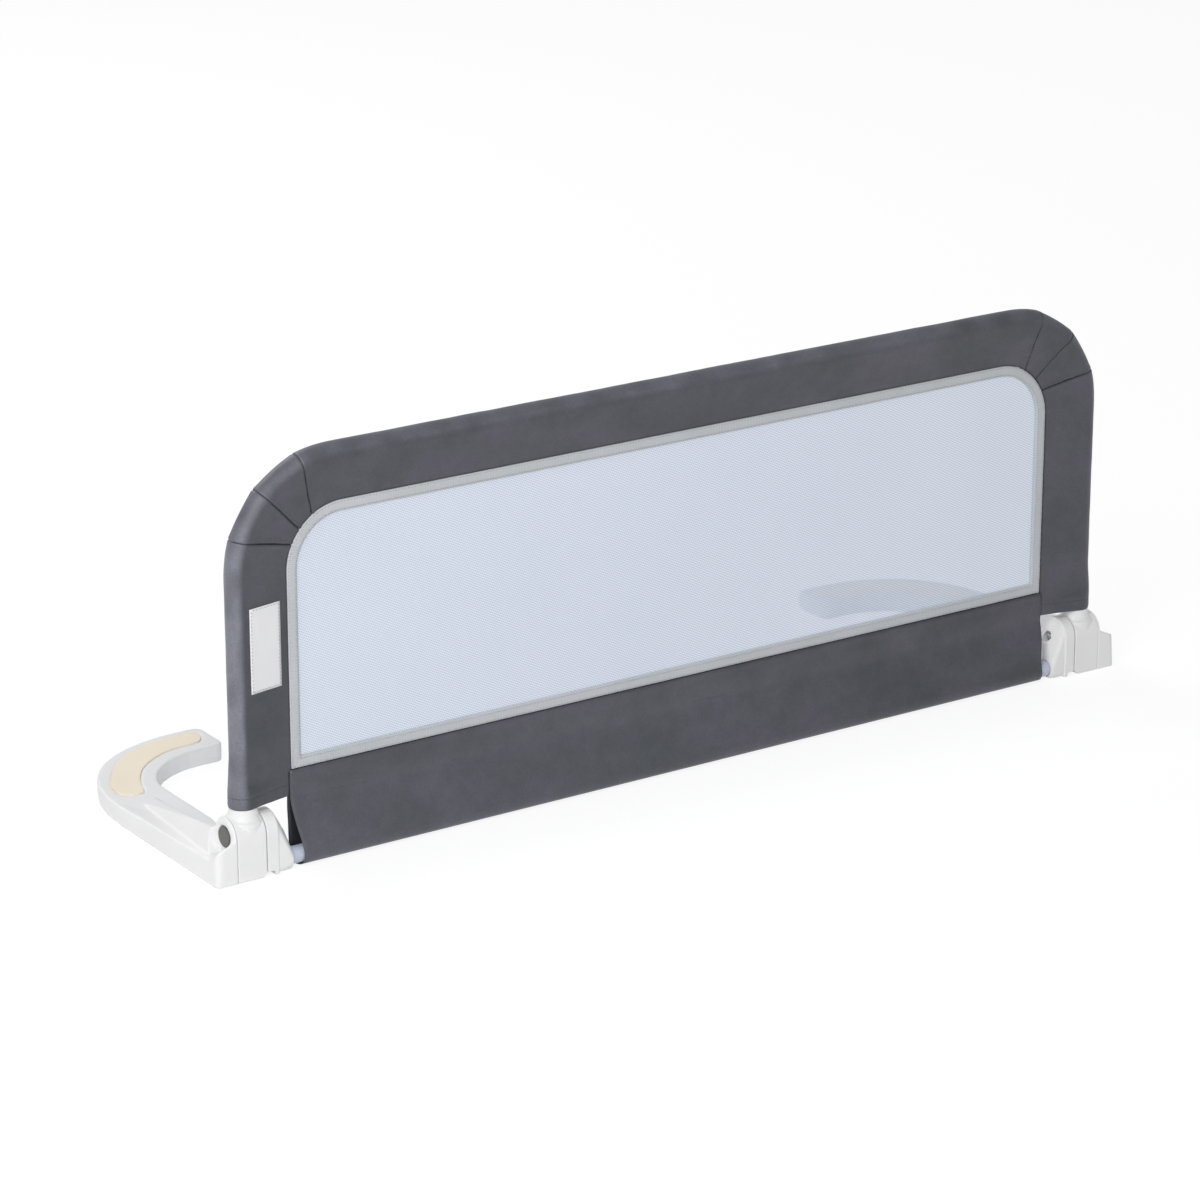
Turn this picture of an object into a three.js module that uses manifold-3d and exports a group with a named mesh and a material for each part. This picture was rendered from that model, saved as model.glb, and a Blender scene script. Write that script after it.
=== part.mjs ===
// A folding bed guard rail: a tube frame in a sewn fabric cover, standing on two hooked feet
// that slide under the mattress and fold up flat behind the window when their buttons are pressed.
// Millimetres, +Z up. X runs along the bed side and +Y points under the mattress.
// Everything is drawn with Y zero on the axis of the two posts; the last lines move the origin
// to the middle of the floor area that the rail covers.

import * as THREE from 'three';
import { mergeVertices } from 'three/addons/utils/BufferGeometryUtils.js';
import Module from 'manifold-3d';

const wasm = await Module();
wasm.setup();

// Sizes that anyone would quote
const POST_SPACING = 980; // between the axes of the two posts
const RAIL_HEIGHT = 385.3; // floor to the centre line of the top tube
const CORNER_RADIUS = 100; // centre line of the bend at each top corner
const FIT = 0.3; // clearance between neighbouring pieces
const OVERRUN = 1; // how far a cutting tool runs past the face that it cuts

// Frame tubes
const TUBE_RADIUS = 10;
const TUBE_WALL = 1.2;
const TOP_TUBE_LENGTH = 400; // the straight tube between the two bent posts
const SPIGOT_LENGTH = 40; // reduced tube end inside its neighbour
const CROSS_RADIUS = 8.3;
const CROSS_WALL = 1.2;
const CROSS_HEIGHT = 10.1;
const CROSS_SETBACK = -6.5; // the cross tube lies this far in front of the posts

// Fabric cover
const FABRIC = 1.2; // a layer with its lining
const COVER_BOTTOM = 67;
const COLLAR_GRIP_HEIGHT = 84; // up to here the cover is wide enough for the collar
const COLLAR_GRIP_TAPER = 6;
const EDGE_THICKNESS = 4.8; // both layers where they are sewn to the window
const SEAM_ALLOWANCE = 8;
const SEAM_TUBE_ANGLES = [20, 45, 70]; // degrees, the corner seams at the tube
const SEAM_WINDOW_ANGLES = [27, 45, 65]; // and the same seams at the window
const WINDOW_INSET = 50; // from the axis of a post to the window
const BAND_DEPTH = 43.9; // from the centre line of the top tube to the window
const WINDOW_BOTTOM = 91.9;
const WINDOW_CORNER = 60;
const BINDING_WIDTH = 11;
const BINDING_PROUD = 0.4;
const MESH_THICKNESS = 1;
const PANEL_OVERLAP = 2; // the lower panel reaches this far past the window
const POCKET_TOP = 62; // the two layers of the lower panel are sewn together above this
const PATCH_WIDTH = 36.6;
const PATCH_HEIGHT = 82;
const PATCH_THICKNESS = 0.6;
const PATCH_DROP = 27.3; // from the start of the corner down to the patch
const PATCH_INSET = 3.9; // from the post axis towards the window

// Hinge joint: block, foot knuckle and bracket share one outline
const HINGE_HEIGHT = 41;
const KNUCKLE_RADIUS = 19; // the round top, and half the depth of the joint
const BLOCK_LENGTH = 29.7; // along X
const BLOCK_OUTSIDE = 16.6; // from the post axis to the block's outer face
const BLOCK_CHAMFER = 5;
const BLOCK_EDGE = 1.5; // rounding of the lower edges
const COLLAR_RADIUS = 13.25;
const COLLAR_GRIP_RADIUS = 12.4;
const COLLAR_SHOULDER = 66.4;
const COLLAR_TOP = 82;
const COLLAR_FLARE = 5;
const COLLAR_FLARE_HEIGHT = 11;
const SOCKET_FLOOR = 58.5;
const POST_SCREW_HEIGHT = 74;
const POST_SCREW_RADIUS = 1.9;
const POST_SCREW_HEAD = 3.4;
const POST_SCREW_HEAD_HEIGHT = 1.4;

// Lock inside the hinge block, sizes along X counted from the block's outer face
const HUB_RADIUS = 14.4;
const HUB_LENGTH = 9.2; // how far the foot's hub reaches into the block
const HUB_WEB = 2;
const HUB_WEB_DEPTH = 3.6; // outer side of the web
const BEARING_DEPTH = 13.4;
const SPLINE_DEPTH = 25.3;
const SPLINE_TEETH = 12;
const SPLINE_RADIUS = 11.2; // over the teeth of the lock gear
const SPLINE_TOOTH = 1.4;
const GEAR_DISC_RADIUS = 11;
const GEAR_LENGTH = 13;
const GEAR_DISC = 2.2;
const GEAR_LUG_LENGTH = 3.2;
const GEAR_LUG_RADIUS = 12.7;
const GEAR_LUG_ANGLE = 30; // degrees
const GEAR_CUP_RADIUS = 7;
const FOLD_ANGLE = 90; // degrees, how far a foot folds
const LUG_BACKLASH = 3; // degrees, each side
const SPRING_RADIUS = 5.9; // centre line of the coil
const SPRING_WIRE = 1.2;
const SPRING_TURNS = 6;

// Release button
const BUTTON_RADIUS = 10;
const BUTTON_PROUD = 1.1;
const BUTTON_CAP = 2.3;
const BUTTON_TRAVEL = 3.6;
const BUTTON_FLANGE = 0.9; // how far the snap flange stands out
const BUTTON_FLANGE_THICKNESS = 1;
const BUTTON_SKIRT = 1.8;
const BUTTON_SKIRT_LENGTH = 1.5;
const LEG_RADIUS = 1.8;
const LEG_CIRCLE = 7.2;
const LEG_COUNT = 3;

// Pivot bolt, nut and washer face
const BOLT_RADIUS = 3;
const BOLT_HEAD_RADIUS = 4.6;
const BOLT_HEAD_HEIGHT = 1.2;
const BOLT_END_PROUD = 1.5;
const NUT_RADIUS = 5.8; // over the corners
const NUT_THICKNESS = 5;

// Inner bracket
const BRACKET_GAP = 1.2; // slot between the block and the bracket
const BRACKET_PLATE = 12.7;
const BRACKET_BOSS_RADIUS = 8;
const BRACKET_STEP = 1.4; // the nose starts this far inside the plate's edge
const NOSE_LENGTH = 12.5; // the nose narrows to a small round end beyond the plate
const NOSE_RADIUS = 8;
const NOSE_ROUND = 3;
const NOSE_DROP = 9; // from the hinge axis down to the middle of that end
const SOCKET_LENGTH = 15.8; // tube socket, beyond the plate
const SOCKET_DEPTH = 20;
const SOCKET_RADIUS = 12.5;
const SOCKET_ROUND = 5; // its end is rounded off over this length
const NOTCH_WIDTH = 8;
const NOTCH_HEIGHT = 4.5;

// Foot: a hooked sole with a ridge that rises to the knuckle
const SOLE_THICKNESS = 18.4;
const SOLE_WALL = 3;
const ARM_WIDTH = 22.3; // from the block to the outer face, at the joint
const DISC_THICKNESS = 3.2;
const DISC_CHAMFER = 1.6;
const LIP_HEIGHT = 41.5; // the front of the arm rises to here beside the block
const LIP_END_HEIGHT = 33; // and to here at its outer face
const LIP_BACK = 13; // from the hinge axis forward to the top of the lip
const LIP_FOOT = 2; // and back to where it meets the ledge
const DISH_FLAT = 2; // flat ring round the button
const DISH_RADIUS = 16.5; // hollow in which the button lies
const DISH_DRAFT = 1;
const CREST_HEIGHT = 45.4; // the ridge at the knuckle
const CREST_INSET = 15; // from the foot's outer face, at the knuckle
const CREST_END_INSET = 38.2; // and where the ridge has come down to the sole
const CREST_WIDTH = 2; // flat of the crest
const CREST_ROUND = 0.8;
const CREASE_HEIGHT = 23.5; // the hollow line along the outside of the ridge
const CREASE_END_HEIGHT = 17;
const CREASE_INSET = 8.1;
const CREASE_END_INSET = 23.6;
const LEDGE_HEIGHT = 22.9; // outer edge at the knuckle
const LEDGE_END_HEIGHT = 18.8;
const LEDGE_ROUND = 1.2;
const RIDGE_START = 9;
const RIDGE_TURN = 49; // the ridge runs beside the block to here, then draws inwards
const RIDGE_END = 171;
const CORE_END = 130; // the ridge is cored from below to here
const CORE_TOP = 1; // narrowest top of the core
const FRONT_CORNER = 4; // at the floor
const FRONT_CORNER_TOP = 10;
const STRAIGHT_LENGTH = 169; // the outer side runs straight to here
const FLARE_START = 35; // the sole widens inwards from here
const FLARE_END = 95;
const ARM_END = 187; // the pad begins here
const FOOT_REACH = 311;
const HOOK_LENGTH = 164.2; // from the outer face to the tip
const HOOK_WIDTH = 52;
const HOOK_CORNER = 8;
const SOLE_WIDTH = 59; // across the foot, where the hook begins
const RIB_THICKNESS = 2.4;
const RIB_SPACING = 34;

// Grip pad let into the sole
const PAD_RECESS = 2;
const PAD_PROUD = 0.8;
const PAD_MARGIN = 0.6;

// Smoothness
const ROUND = 28; // sides of a large round form
const TUBE_SIDES = 16;
const BEND_STEPS = 16; // to a right angle

// Places that several pieces share
const HALF_SPACING = POST_SPACING / 2;
const ARC_X = HALF_SPACING - CORNER_RADIUS;
const ARC_Z = RAIL_HEIGHT - CORNER_RADIUS;
const BLOCK_FACE = HALF_SPACING + BLOCK_OUTSIDE;
const BLOCK_BACK = BLOCK_FACE - BLOCK_LENGTH;
const PLATE_FACE = BLOCK_BACK - BRACKET_GAP;
const PLATE_BACK = PLATE_FACE - BRACKET_PLATE;
const NUT_FACE = PLATE_BACK - NUT_THICKNESS;
const SOCKET_END = PLATE_BACK - SOCKET_LENGTH;
const ARM_FACE = BLOCK_FACE + FIT;
const ARM_OUTSIDE = ARM_FACE + ARM_WIDTH;
const DISC_FACE = ARM_FACE + DISC_THICKNESS;
const WEB_FACE = BLOCK_FACE - HUB_WEB_DEPTH;
const WEB_BACK = WEB_FACE - HUB_WEB;
const GEAR_FACE = WEB_BACK - FIT;
const HOOK_TIP = ARM_OUTSIDE - HOOK_LENGTH;
const WINDOW_HALF_WIDTH = HALF_SPACING - WINDOW_INSET;
const WINDOW_TOP = RAIL_HEIGHT - BAND_DEPTH;
const PANEL_HALF_WIDTH = WINDOW_HALF_WIDTH + PANEL_OVERLAP;
const SLEEVE_RADIUS = TUBE_RADIUS + FIT + FABRIC;
const GRIP_SLEEVE_RADIUS = COLLAR_GRIP_RADIUS + FIT + FABRIC;

const FABRIC_DARK = new THREE.MeshStandardMaterial({ color: 0x55565b, roughness: 0.75, metalness: 0 });
const FABRIC_MESH = new THREE.MeshStandardMaterial({ color: 0xd3dae4, roughness: 0.8, metalness: 0 });
const FABRIC_BINDING = new THREE.MeshStandardMaterial({ color: 0xbcc2bd, roughness: 0.8, metalness: 0 });
const FABRIC_PATCH = new THREE.MeshStandardMaterial({ color: 0xe4e4e6, roughness: 0.7, metalness: 0 });
const PLASTIC_WHITE = new THREE.MeshStandardMaterial({ color: 0xece9e6, roughness: 0.45, metalness: 0 });
const PLASTIC_GREY = new THREE.MeshStandardMaterial({ color: 0x646462, roughness: 0.5, metalness: 0 });
const RUBBER_CREAM = new THREE.MeshStandardMaterial({ color: 0xefe2cd, roughness: 0.8, metalness: 0 });
const TUBE_WHITE = new THREE.MeshStandardMaterial({ color: 0xc9cfdd, roughness: 0.35, metalness: 0.3 });
const STEEL = new THREE.MeshStandardMaterial({ color: 0xa8abb0, roughness: 0.35, metalness: 1 });

// Solids: between three.js geometry and manifold-3d

function solid(geometry) {
  const bare = geometry.clone();
  bare.deleteAttribute('normal');
  bare.deleteAttribute('uv');
  const merged = mergeVertices(bare, 1e-4);
  return new wasm.Manifold(
    new wasm.Mesh({
      numProp: 3,
      vertProperties: merged.attributes.position.array,
      triVerts: new Uint32Array(merged.index.array),
    }),
  );
}

function geometryOf(body) {
  const mesh = body.getMesh();
  const geometry = new THREE.BufferGeometry();
  geometry.setAttribute('position', new THREE.BufferAttribute(mesh.vertProperties, 3));
  geometry.setIndex(new THREE.BufferAttribute(mesh.triVerts, 1));
  const faceted = geometry.toNonIndexed();
  faceted.computeVertexNormals();
  return faceted;
}

function piece(name, shape, material) {
  const geometry = shape.isBufferGeometry ? shape : geometryOf(shape);
  const mesh = new THREE.Mesh(geometry, material);
  mesh.name = name;
  return mesh;
}

function joined(bodies) {
  return bodies.reduce((whole, body) => whole.add(body));
}

// A loft through sections that all have the same number of points.
// A section is its outline of Vector2 and the function that places a point of it in space.
function loft(sections) {
  const count = sections[0].outline.length;
  const points = sections.flatMap((section) => section.outline.map(section.place));
  const faces = [];
  for (let i = 0; i + 1 < sections.length; i += 1) {
    for (let k = 0; k < count; k += 1) {
      const a = i * count + k;
      const b = i * count + ((k + 1) % count);
      faces.push(a, b, b + count, a, b + count, a + count);
    }
  }
  const last = (sections.length - 1) * count;
  for (const [a, b, c] of capOf(sections[0].outline)) faces.push(a, c, b);
  for (const [a, b, c] of capOf(sections.at(-1).outline)) faces.push(last + a, last + b, last + c);
  return facingOut(points, faces);
}

// Triangles that fill an outline and turn the same way as it does
function capOf(outline) {
  const triangles = THREE.ShapeUtils.triangulateShape(outline, []);
  return THREE.ShapeUtils.isClockWise(outline) ? triangles.map(([a, b, c]) => [a, c, b]) : triangles;
}

// A hollow loft, open at both ends, through sections that have an outer and an inner outline
function hollowLoft(sections) {
  const count = sections[0].outer.length;
  const points = sections.flatMap(({ outer, inner, place }) => [...outer, ...inner].map(place));
  const faces = [];
  const last = (sections.length - 1) * 2 * count;
  for (let k = 0; k < count; k += 1) {
    const next = (k + 1) % count;
    for (let i = 0; i < last; i += 2 * count) {
      const [a, b, c, d] = [i + k, i + next, i + 2 * count + next, i + 2 * count + k];
      faces.push(a, b, c, a, c, d);
      faces.push(a + count, c + count, b + count, a + count, d + count, c + count);
    }
    faces.push(next, k, k + count, next, k + count, next + count);
    faces.push(last + k, last + next, last + next + count, last + k, last + next + count, last + k + count);
  }
  return facingOut(points, faces);
}

// A geometry of triangles, turned round if its faces point inwards.
function facingOut(points, faces) {
  let volume = 0;
  const normal = new THREE.Vector3();
  for (let i = 0; i < faces.length; i += 3) {
    normal.crossVectors(points[faces[i + 1]], points[faces[i + 2]]);
    volume += points[faces[i]].dot(normal);
  }
  const geometry = new THREE.BufferGeometry();
  geometry.setAttribute(
    'position',
    new THREE.Float32BufferAttribute(points.flatMap((p) => [p.x, p.y, p.z]), 3),
  );
  geometry.setIndex(volume < 0 ? faces.reverse() : faces);
  const faceted = geometry.toNonIndexed();
  faceted.computeVertexNormals();
  return faceted;
}

// Outlines

const point = (x, y) => new THREE.Vector2(x, y);

function arc(x, y, radius, from, to, steps) {
  return Array.from({ length: steps + 1 }, (_, i) => {
    const angle = from + ((to - from) * i) / steps;
    return point(x + radius * Math.cos(angle), y + radius * Math.sin(angle));
  });
}

function circle(radius, sides, x = 0, y = 0) {
  return arc(x, y, radius, 0, 2 * Math.PI * (1 - 1 / sides), sides - 1);
}

// A polygon with its corners rounded: each corner is [x, y, radius].
function rounded(corners, steps) {
  return corners.flatMap(([x, y, radius], i) => {
    const corner = point(x, y);
    if (!radius) return [corner];
    const before = corners.at(i - 1);
    const after = corners[(i + 1) % corners.length];
    const back = point(before[0] - x, before[1] - y).normalize();
    const ahead = point(after[0] - x, after[1] - y).normalize();
    const half = Math.acos(THREE.MathUtils.clamp(back.dot(ahead), -1, 1)) / 2;
    const middle = back.clone().add(ahead).normalize();
    const centre = corner.clone().addScaledVector(middle, radius / Math.sin(half));
    const first = corner.clone().addScaledVector(back, radius / Math.tan(half)).sub(centre);
    const last = corner.clone().addScaledVector(ahead, radius / Math.tan(half)).sub(centre);
    const from = Math.atan2(first.y, first.x);
    let turn = Math.atan2(last.y, last.x) - from;
    if (turn > Math.PI) turn -= 2 * Math.PI;
    if (turn < -Math.PI) turn += 2 * Math.PI;
    return arc(centre.x, centre.y, radius, from, from + turn, steps);
  });
}

// An outline moved inwards (or, with a negative distance, outwards) by an even distance.
function inset(outline, distance) {
  const inwards = THREE.ShapeUtils.isClockWise(outline) ? -1 : 1;
  return outline.map((corner, i) => {
    const before = outline.at(i - 1);
    const after = outline[(i + 1) % outline.length];
    const first = corner.clone().sub(before).normalize();
    const last = after.clone().sub(corner).normalize();
    const normal = point(-first.y - last.y, first.x + last.x).normalize();
    const reach = distance / Math.max(normal.dot(point(-first.y, first.x)), 0.5);
    return corner.clone().addScaledVector(normal, inwards * reach);
  });
}

// The tombstone that the block, the knuckle and the bracket share, in Y and Z
function jointOutline(edge, shrink = 0) {
  const half = KNUCKLE_RADIUS - shrink;
  const side = rounded([[-half, HINGE_HEIGHT, 0], [-half, shrink, edge], [half, shrink, edge],
    [half, HINGE_HEIGHT, 0]], 3);
  return [...side, ...arc(0, HINGE_HEIGHT, half, 0, Math.PI, ROUND / 2).slice(1, -1)];
}

// Straight solids from outlines

function lengthwise(outline, from, to) {
  const place = (x) => (p) => new THREE.Vector3(x, p.x, p.y);
  return solid(loft([{ outline, place: place(from) }, { outline, place: place(to) }]));
}

function upright(outline, from, to) {
  const place = (z) => (p) => new THREE.Vector3(p.x, p.y, z);
  return solid(loft([{ outline, place: place(from) }, { outline, place: place(to) }]));
}

function deepwise(outline, from, to) {
  const place = (y) => (p) => new THREE.Vector3(p.x, y, p.y);
  return solid(loft([{ outline, place: place(from) }, { outline, place: place(to) }]));
}

// Round solids: profiles of [distance along the axis, radius], starting and ending on the axis
// or closed on themselves

function turned(profile, sides) {
  const geometry = new THREE.LatheGeometry(profile.map(([along, radius]) => point(radius, along)), sides);
  const bare = geometry.clone();
  bare.deleteAttribute('normal');
  bare.deleteAttribute('uv');
  const merged = mergeVertices(bare, 1e-4);
  const points = [];
  for (let i = 0; i < merged.attributes.position.count; i += 1) {
    points.push(new THREE.Vector3().fromBufferAttribute(merged.attributes.position, i));
  }
  const faces = [];
  const index = merged.index.array;
  for (let i = 0; i < index.length; i += 3) {
    const [a, b, c] = [index[i], index[i + 1], index[i + 2]];
    if (a !== b && b !== c && c !== a) faces.push(a, b, c);
  }
  return facingOut(points, faces);
}

// About the hinge axis or another line along X
function turnedLengthwise(profile, sides, y = 0, z = HINGE_HEIGHT) {
  return solid(turned(profile, sides).rotateZ(-Math.PI / 2).translate(0, y, z));
}

// About the axis of a post
function turnedUpright(profile, sides) {
  return solid(turned(profile, sides).rotateX(Math.PI / 2).translate(HALF_SPACING, 0, 0));
}

function rod(from, to, radius) {
  return [[from, 0], [from, radius], [to, radius], [to, 0]];
}

// Bent and straight frame tubes

function postStation(x, z, angle) {
  const across = new THREE.Vector3(Math.cos(angle), 0, Math.sin(angle));
  return (p) => new THREE.Vector3(x, p.y, z).addScaledVector(across, p.x);
}

// Stations up a post, round its corner and along the top, to the joint with the top tube
function postStations(bottom, end) {
  const stations = [postStation(HALF_SPACING, bottom, 0)];
  for (let i = 0; i <= BEND_STEPS; i += 1) {
    const angle = (Math.PI / 2) * (i / BEND_STEPS);
    stations.push(postStation(
      ARC_X + CORNER_RADIUS * Math.cos(angle),
      ARC_Z + CORNER_RADIUS * Math.sin(angle),
      angle,
    ));
  }
  stations.push(postStation(end, RAIL_HEIGHT, Math.PI / 2));
  return stations;
}

function postTube() {
  const outer = circle(TUBE_RADIUS, TUBE_SIDES);
  const inner = circle(TUBE_RADIUS - TUBE_WALL, TUBE_SIDES);
  const stations = postStations(SOCKET_FLOOR + FIT, TOP_TUBE_LENGTH / 2 + FIT);
  const tube = solid(hollowLoft(stations.map((place) => ({ outer, inner, place }))));
  return tube.subtract(postScrewHole());
}

function topTube() {
  const half = TOP_TUBE_LENGTH / 2;
  const spigot = TUBE_RADIUS - TUBE_WALL - FIT;
  const bore = spigot - TUBE_WALL;
  const end = half + SPIGOT_LENGTH;
  const profile = [[-end, bore], [-end, spigot], [-half, spigot], [-half, TUBE_RADIUS],
    [half, TUBE_RADIUS], [half, spigot], [end, spigot], [end, bore], [-end, bore]];
  return turnedLengthwise(profile, TUBE_SIDES, 0, RAIL_HEIGHT);
}

const CROSS_END = SOCKET_END + SOCKET_DEPTH - FIT;

function crossTube(profile) {
  return turnedLengthwise(profile, TUBE_SIDES, CROSS_SETBACK, CROSS_HEIGHT);
}

function rightCrossTube() {
  const bore = CROSS_RADIUS - CROSS_WALL;
  return crossTube([[FIT, bore], [FIT, CROSS_RADIUS], [CROSS_END, CROSS_RADIUS], [CROSS_END, bore],
    [FIT, bore]]);
}

function leftCrossTube() {
  const spigot = CROSS_RADIUS - CROSS_WALL - FIT;
  const bore = spigot - CROSS_WALL;
  return crossTube([[-CROSS_END, bore], [-CROSS_END, CROSS_RADIUS], [0, CROSS_RADIUS], [0, spigot],
    [SPIGOT_LENGTH, spigot], [SPIGOT_LENGTH, bore], [-CROSS_END, bore]]);
}

// Screw through the back of the collar into the post

function postScrewProfile(clearance) {
  const head = COLLAR_GRIP_RADIUS - 2 * FIT;
  const neck = head - POST_SCREW_HEAD_HEIGHT - clearance;
  const tip = TUBE_RADIUS - 2 * TUBE_WALL - clearance;
  const shank = POST_SCREW_RADIUS + clearance;
  return [[tip, 0], [tip, shank], [neck, shank], [neck, POST_SCREW_HEAD + clearance],
    [head + (clearance ? OVERRUN : 0), POST_SCREW_HEAD + clearance], [head + (clearance ? OVERRUN : 0), 0]];
}

function alongPostScrew(profile) {
  return solid(turned(profile, TUBE_SIDES).translate(HALF_SPACING, 0, POST_SCREW_HEIGHT));
}

function postScrewHole() {
  return alongPostScrew(postScrewProfile(FIT));
}

function postScrew() {
  return alongPostScrew(postScrewProfile(0));
}

// Hinge block with its collar, the bearing for the foot's hub and the splined lock chamber

function collar() {
  const profile = [[HINGE_HEIGHT, 0], [HINGE_HEIGHT, COLLAR_RADIUS + COLLAR_FLARE]];
  const foot = COLLAR_SHOULDER - COLLAR_FLARE_HEIGHT;
  for (const angle of [90, 70, 50, 30, 10, 0]) {
    const turn = THREE.MathUtils.degToRad(angle);
    profile.push([
      foot + COLLAR_FLARE_HEIGHT * (1 - Math.sin(turn)),
      COLLAR_RADIUS + COLLAR_FLARE * (1 - Math.cos(turn)),
    ]);
  }
  profile.push([COLLAR_SHOULDER, COLLAR_GRIP_RADIUS], [COLLAR_TOP, COLLAR_GRIP_RADIUS], [COLLAR_TOP, 0]);
  return turnedUpright(profile, ROUND);
}

// Shaft or hole with straight teeth, centred on the hinge axis, in Y and Z
function splineOutline(tip, tooth, growth) {
  const pitch = (2 * Math.PI) / SPLINE_TEETH;
  const outline = [];
  for (let i = 0; i < SPLINE_TEETH; i += 1) {
    const spread = pitch / 4 + growth / tip;
    for (const [turn, radius] of [[-spread, tip - tooth], [-spread / 1.4, tip], [spread / 1.4, tip],
      [spread, tip - tooth]]) {
      const angle = i * pitch + turn;
      outline.push(point(radius * Math.cos(angle), HINGE_HEIGHT + radius * Math.sin(angle)));
    }
  }
  return outline;
}

function hingeBlock() {
  const body = lengthwise(jointOutline(BLOCK_EDGE), BLOCK_BACK, BLOCK_FACE);
  const chamfer = deepwise(
    [point(BLOCK_BACK - OVERRUN, -OVERRUN), point(BLOCK_BACK + BLOCK_CHAMFER, -OVERRUN),
      point(BLOCK_BACK + BLOCK_CHAMFER, 0), point(BLOCK_BACK, BLOCK_CHAMFER),
      point(BLOCK_BACK - OVERRUN, BLOCK_CHAMFER)],
    -KNUCKLE_RADIUS - OVERRUN,
    KNUCKLE_RADIUS + OVERRUN,
  );
  const slab = deepwise(
    [point(BLOCK_BACK, HINGE_HEIGHT), point(BLOCK_FACE, HINGE_HEIGHT), point(BLOCK_FACE, COLLAR_TOP + OVERRUN),
      point(BLOCK_BACK, COLLAR_TOP + OVERRUN)],
    -KNUCKLE_RADIUS,
    KNUCKLE_RADIUS,
  );
  const bearing = turnedLengthwise(
    rod(BLOCK_FACE - BEARING_DEPTH, BLOCK_FACE + OVERRUN, HUB_RADIUS + FIT),
    ROUND,
  );
  const spline = lengthwise(
    splineOutline(SPLINE_RADIUS + FIT, SPLINE_TOOTH, FIT),
    BLOCK_FACE - SPLINE_DEPTH,
    BLOCK_FACE - BEARING_DEPTH + OVERRUN,
  );
  const boltHole = turnedLengthwise(rod(BLOCK_BACK - OVERRUN, BLOCK_FACE, BOLT_RADIUS + FIT), TUBE_SIDES);
  const socket = turnedUpright(rod(SOCKET_FLOOR, COLLAR_TOP + OVERRUN, TUBE_RADIUS + FIT), TUBE_SIDES);
  return body
    .subtract(chamfer)
    .add(collar().intersect(slab))
    .subtract(bearing)
    .subtract(spline)
    .subtract(boltHole)
    .subtract(socket)
    .subtract(postScrewHole());
}

// Inner bracket: a plate, and a nose that holds the nut and the cross tube

// Rounded end of a boss, from its full radius to a smaller one, as [distance along, radius]
function roundedEnd(end, length, radius, endRadius) {
  return [0, 30, 60, 90].map((angle) => {
    const turn = THREE.MathUtils.degToRad(angle);
    return [end + length * (1 - Math.sin(turn)), radius - (radius - endRadius) * (1 - Math.cos(turn))];
  });
}

function nose() {
  const root = lengthwise(jointOutline(BLOCK_EDGE, BRACKET_STEP), PLATE_BACK, PLATE_BACK + OVERRUN);
  const knob = turnedLengthwise(
    [[PLATE_BACK, 0], [PLATE_BACK, NOSE_RADIUS],
      ...roundedEnd(PLATE_BACK - NOSE_LENGTH, NOSE_ROUND, NOSE_RADIUS, NOSE_RADIUS - NOSE_ROUND),
      [PLATE_BACK - NOSE_LENGTH, 0]],
    ROUND,
    0,
    HINGE_HEIGHT - NOSE_DROP,
  );
  const socket = turnedLengthwise(
    [[PLATE_BACK, 0], [PLATE_BACK, SOCKET_RADIUS],
      ...roundedEnd(SOCKET_END, SOCKET_ROUND, SOCKET_RADIUS, CROSS_HEIGHT), [SOCKET_END, 0]],
    ROUND,
    CROSS_SETBACK,
    CROSS_HEIGHT,
  );
  const within = lengthwise(jointOutline(BLOCK_EDGE, BRACKET_STEP / 2), SOCKET_END - OVERRUN, PLATE_BACK);
  return wasm.Manifold.hull([root, knob, socket.intersect(within)]);
}

function hexagon(radius) {
  return circle(radius, 6, 0, HINGE_HEIGHT);
}

function innerBracket() {
  const edges = [[PLATE_BACK, BRACKET_STEP], [PLATE_BACK + BRACKET_STEP, 0], [PLATE_FACE, 0]];
  const plate = solid(loft(edges.map(([x, shrink]) => ({
    outline: jointOutline(BLOCK_EDGE, shrink),
    place: (p) => new THREE.Vector3(x, p.x, p.y),
  }))));
  const spacer = turnedLengthwise(rod(PLATE_FACE - OVERRUN, BLOCK_BACK - FIT, BRACKET_BOSS_RADIUS), ROUND);
  const tubeBore = turnedLengthwise(
    rod(SOCKET_END - OVERRUN, SOCKET_END + SOCKET_DEPTH, CROSS_RADIUS + FIT),
    TUBE_SIDES,
    CROSS_SETBACK,
    CROSS_HEIGHT,
  );
  const boltHole = turnedLengthwise(rod(NUT_FACE, BLOCK_BACK, BOLT_RADIUS + FIT), TUBE_SIDES);
  const nutPocket = lengthwise(hexagon(NUT_RADIUS + FIT), SOCKET_END, PLATE_BACK + FIT);
  const notch = deepwise(
    rounded([[PLATE_FACE - NOTCH_WIDTH, -OVERRUN, 0], [PLATE_FACE + OVERRUN, -OVERRUN, 0],
      [PLATE_FACE + OVERRUN, NOTCH_HEIGHT, 0], [PLATE_FACE - NOTCH_WIDTH, NOTCH_HEIGHT, NOTCH_HEIGHT / 2]], 3),
    -KNUCKLE_RADIUS - OVERRUN,
    KNUCKLE_RADIUS + OVERRUN,
  );
  return joined([plate, nose(), spacer])
    .subtract(notch)
    .subtract(tubeBore)
    .subtract(boltHole)
    .subtract(nutPocket);
}

// Pivot bolt and nut

function pivotBolt() {
  const end = NUT_FACE - BOLT_END_PROUD;
  const seat = WEB_FACE + FIT;
  const profile = [[end, 0], [end, BOLT_RADIUS], [seat, BOLT_RADIUS], [seat, BOLT_HEAD_RADIUS],
    [seat + BOLT_HEAD_HEIGHT / 2, BOLT_HEAD_RADIUS], [seat + BOLT_HEAD_HEIGHT, BOLT_HEAD_RADIUS / 2],
    [seat + BOLT_HEAD_HEIGHT, 0]];
  return turnedLengthwise(profile, TUBE_SIDES);
}

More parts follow.
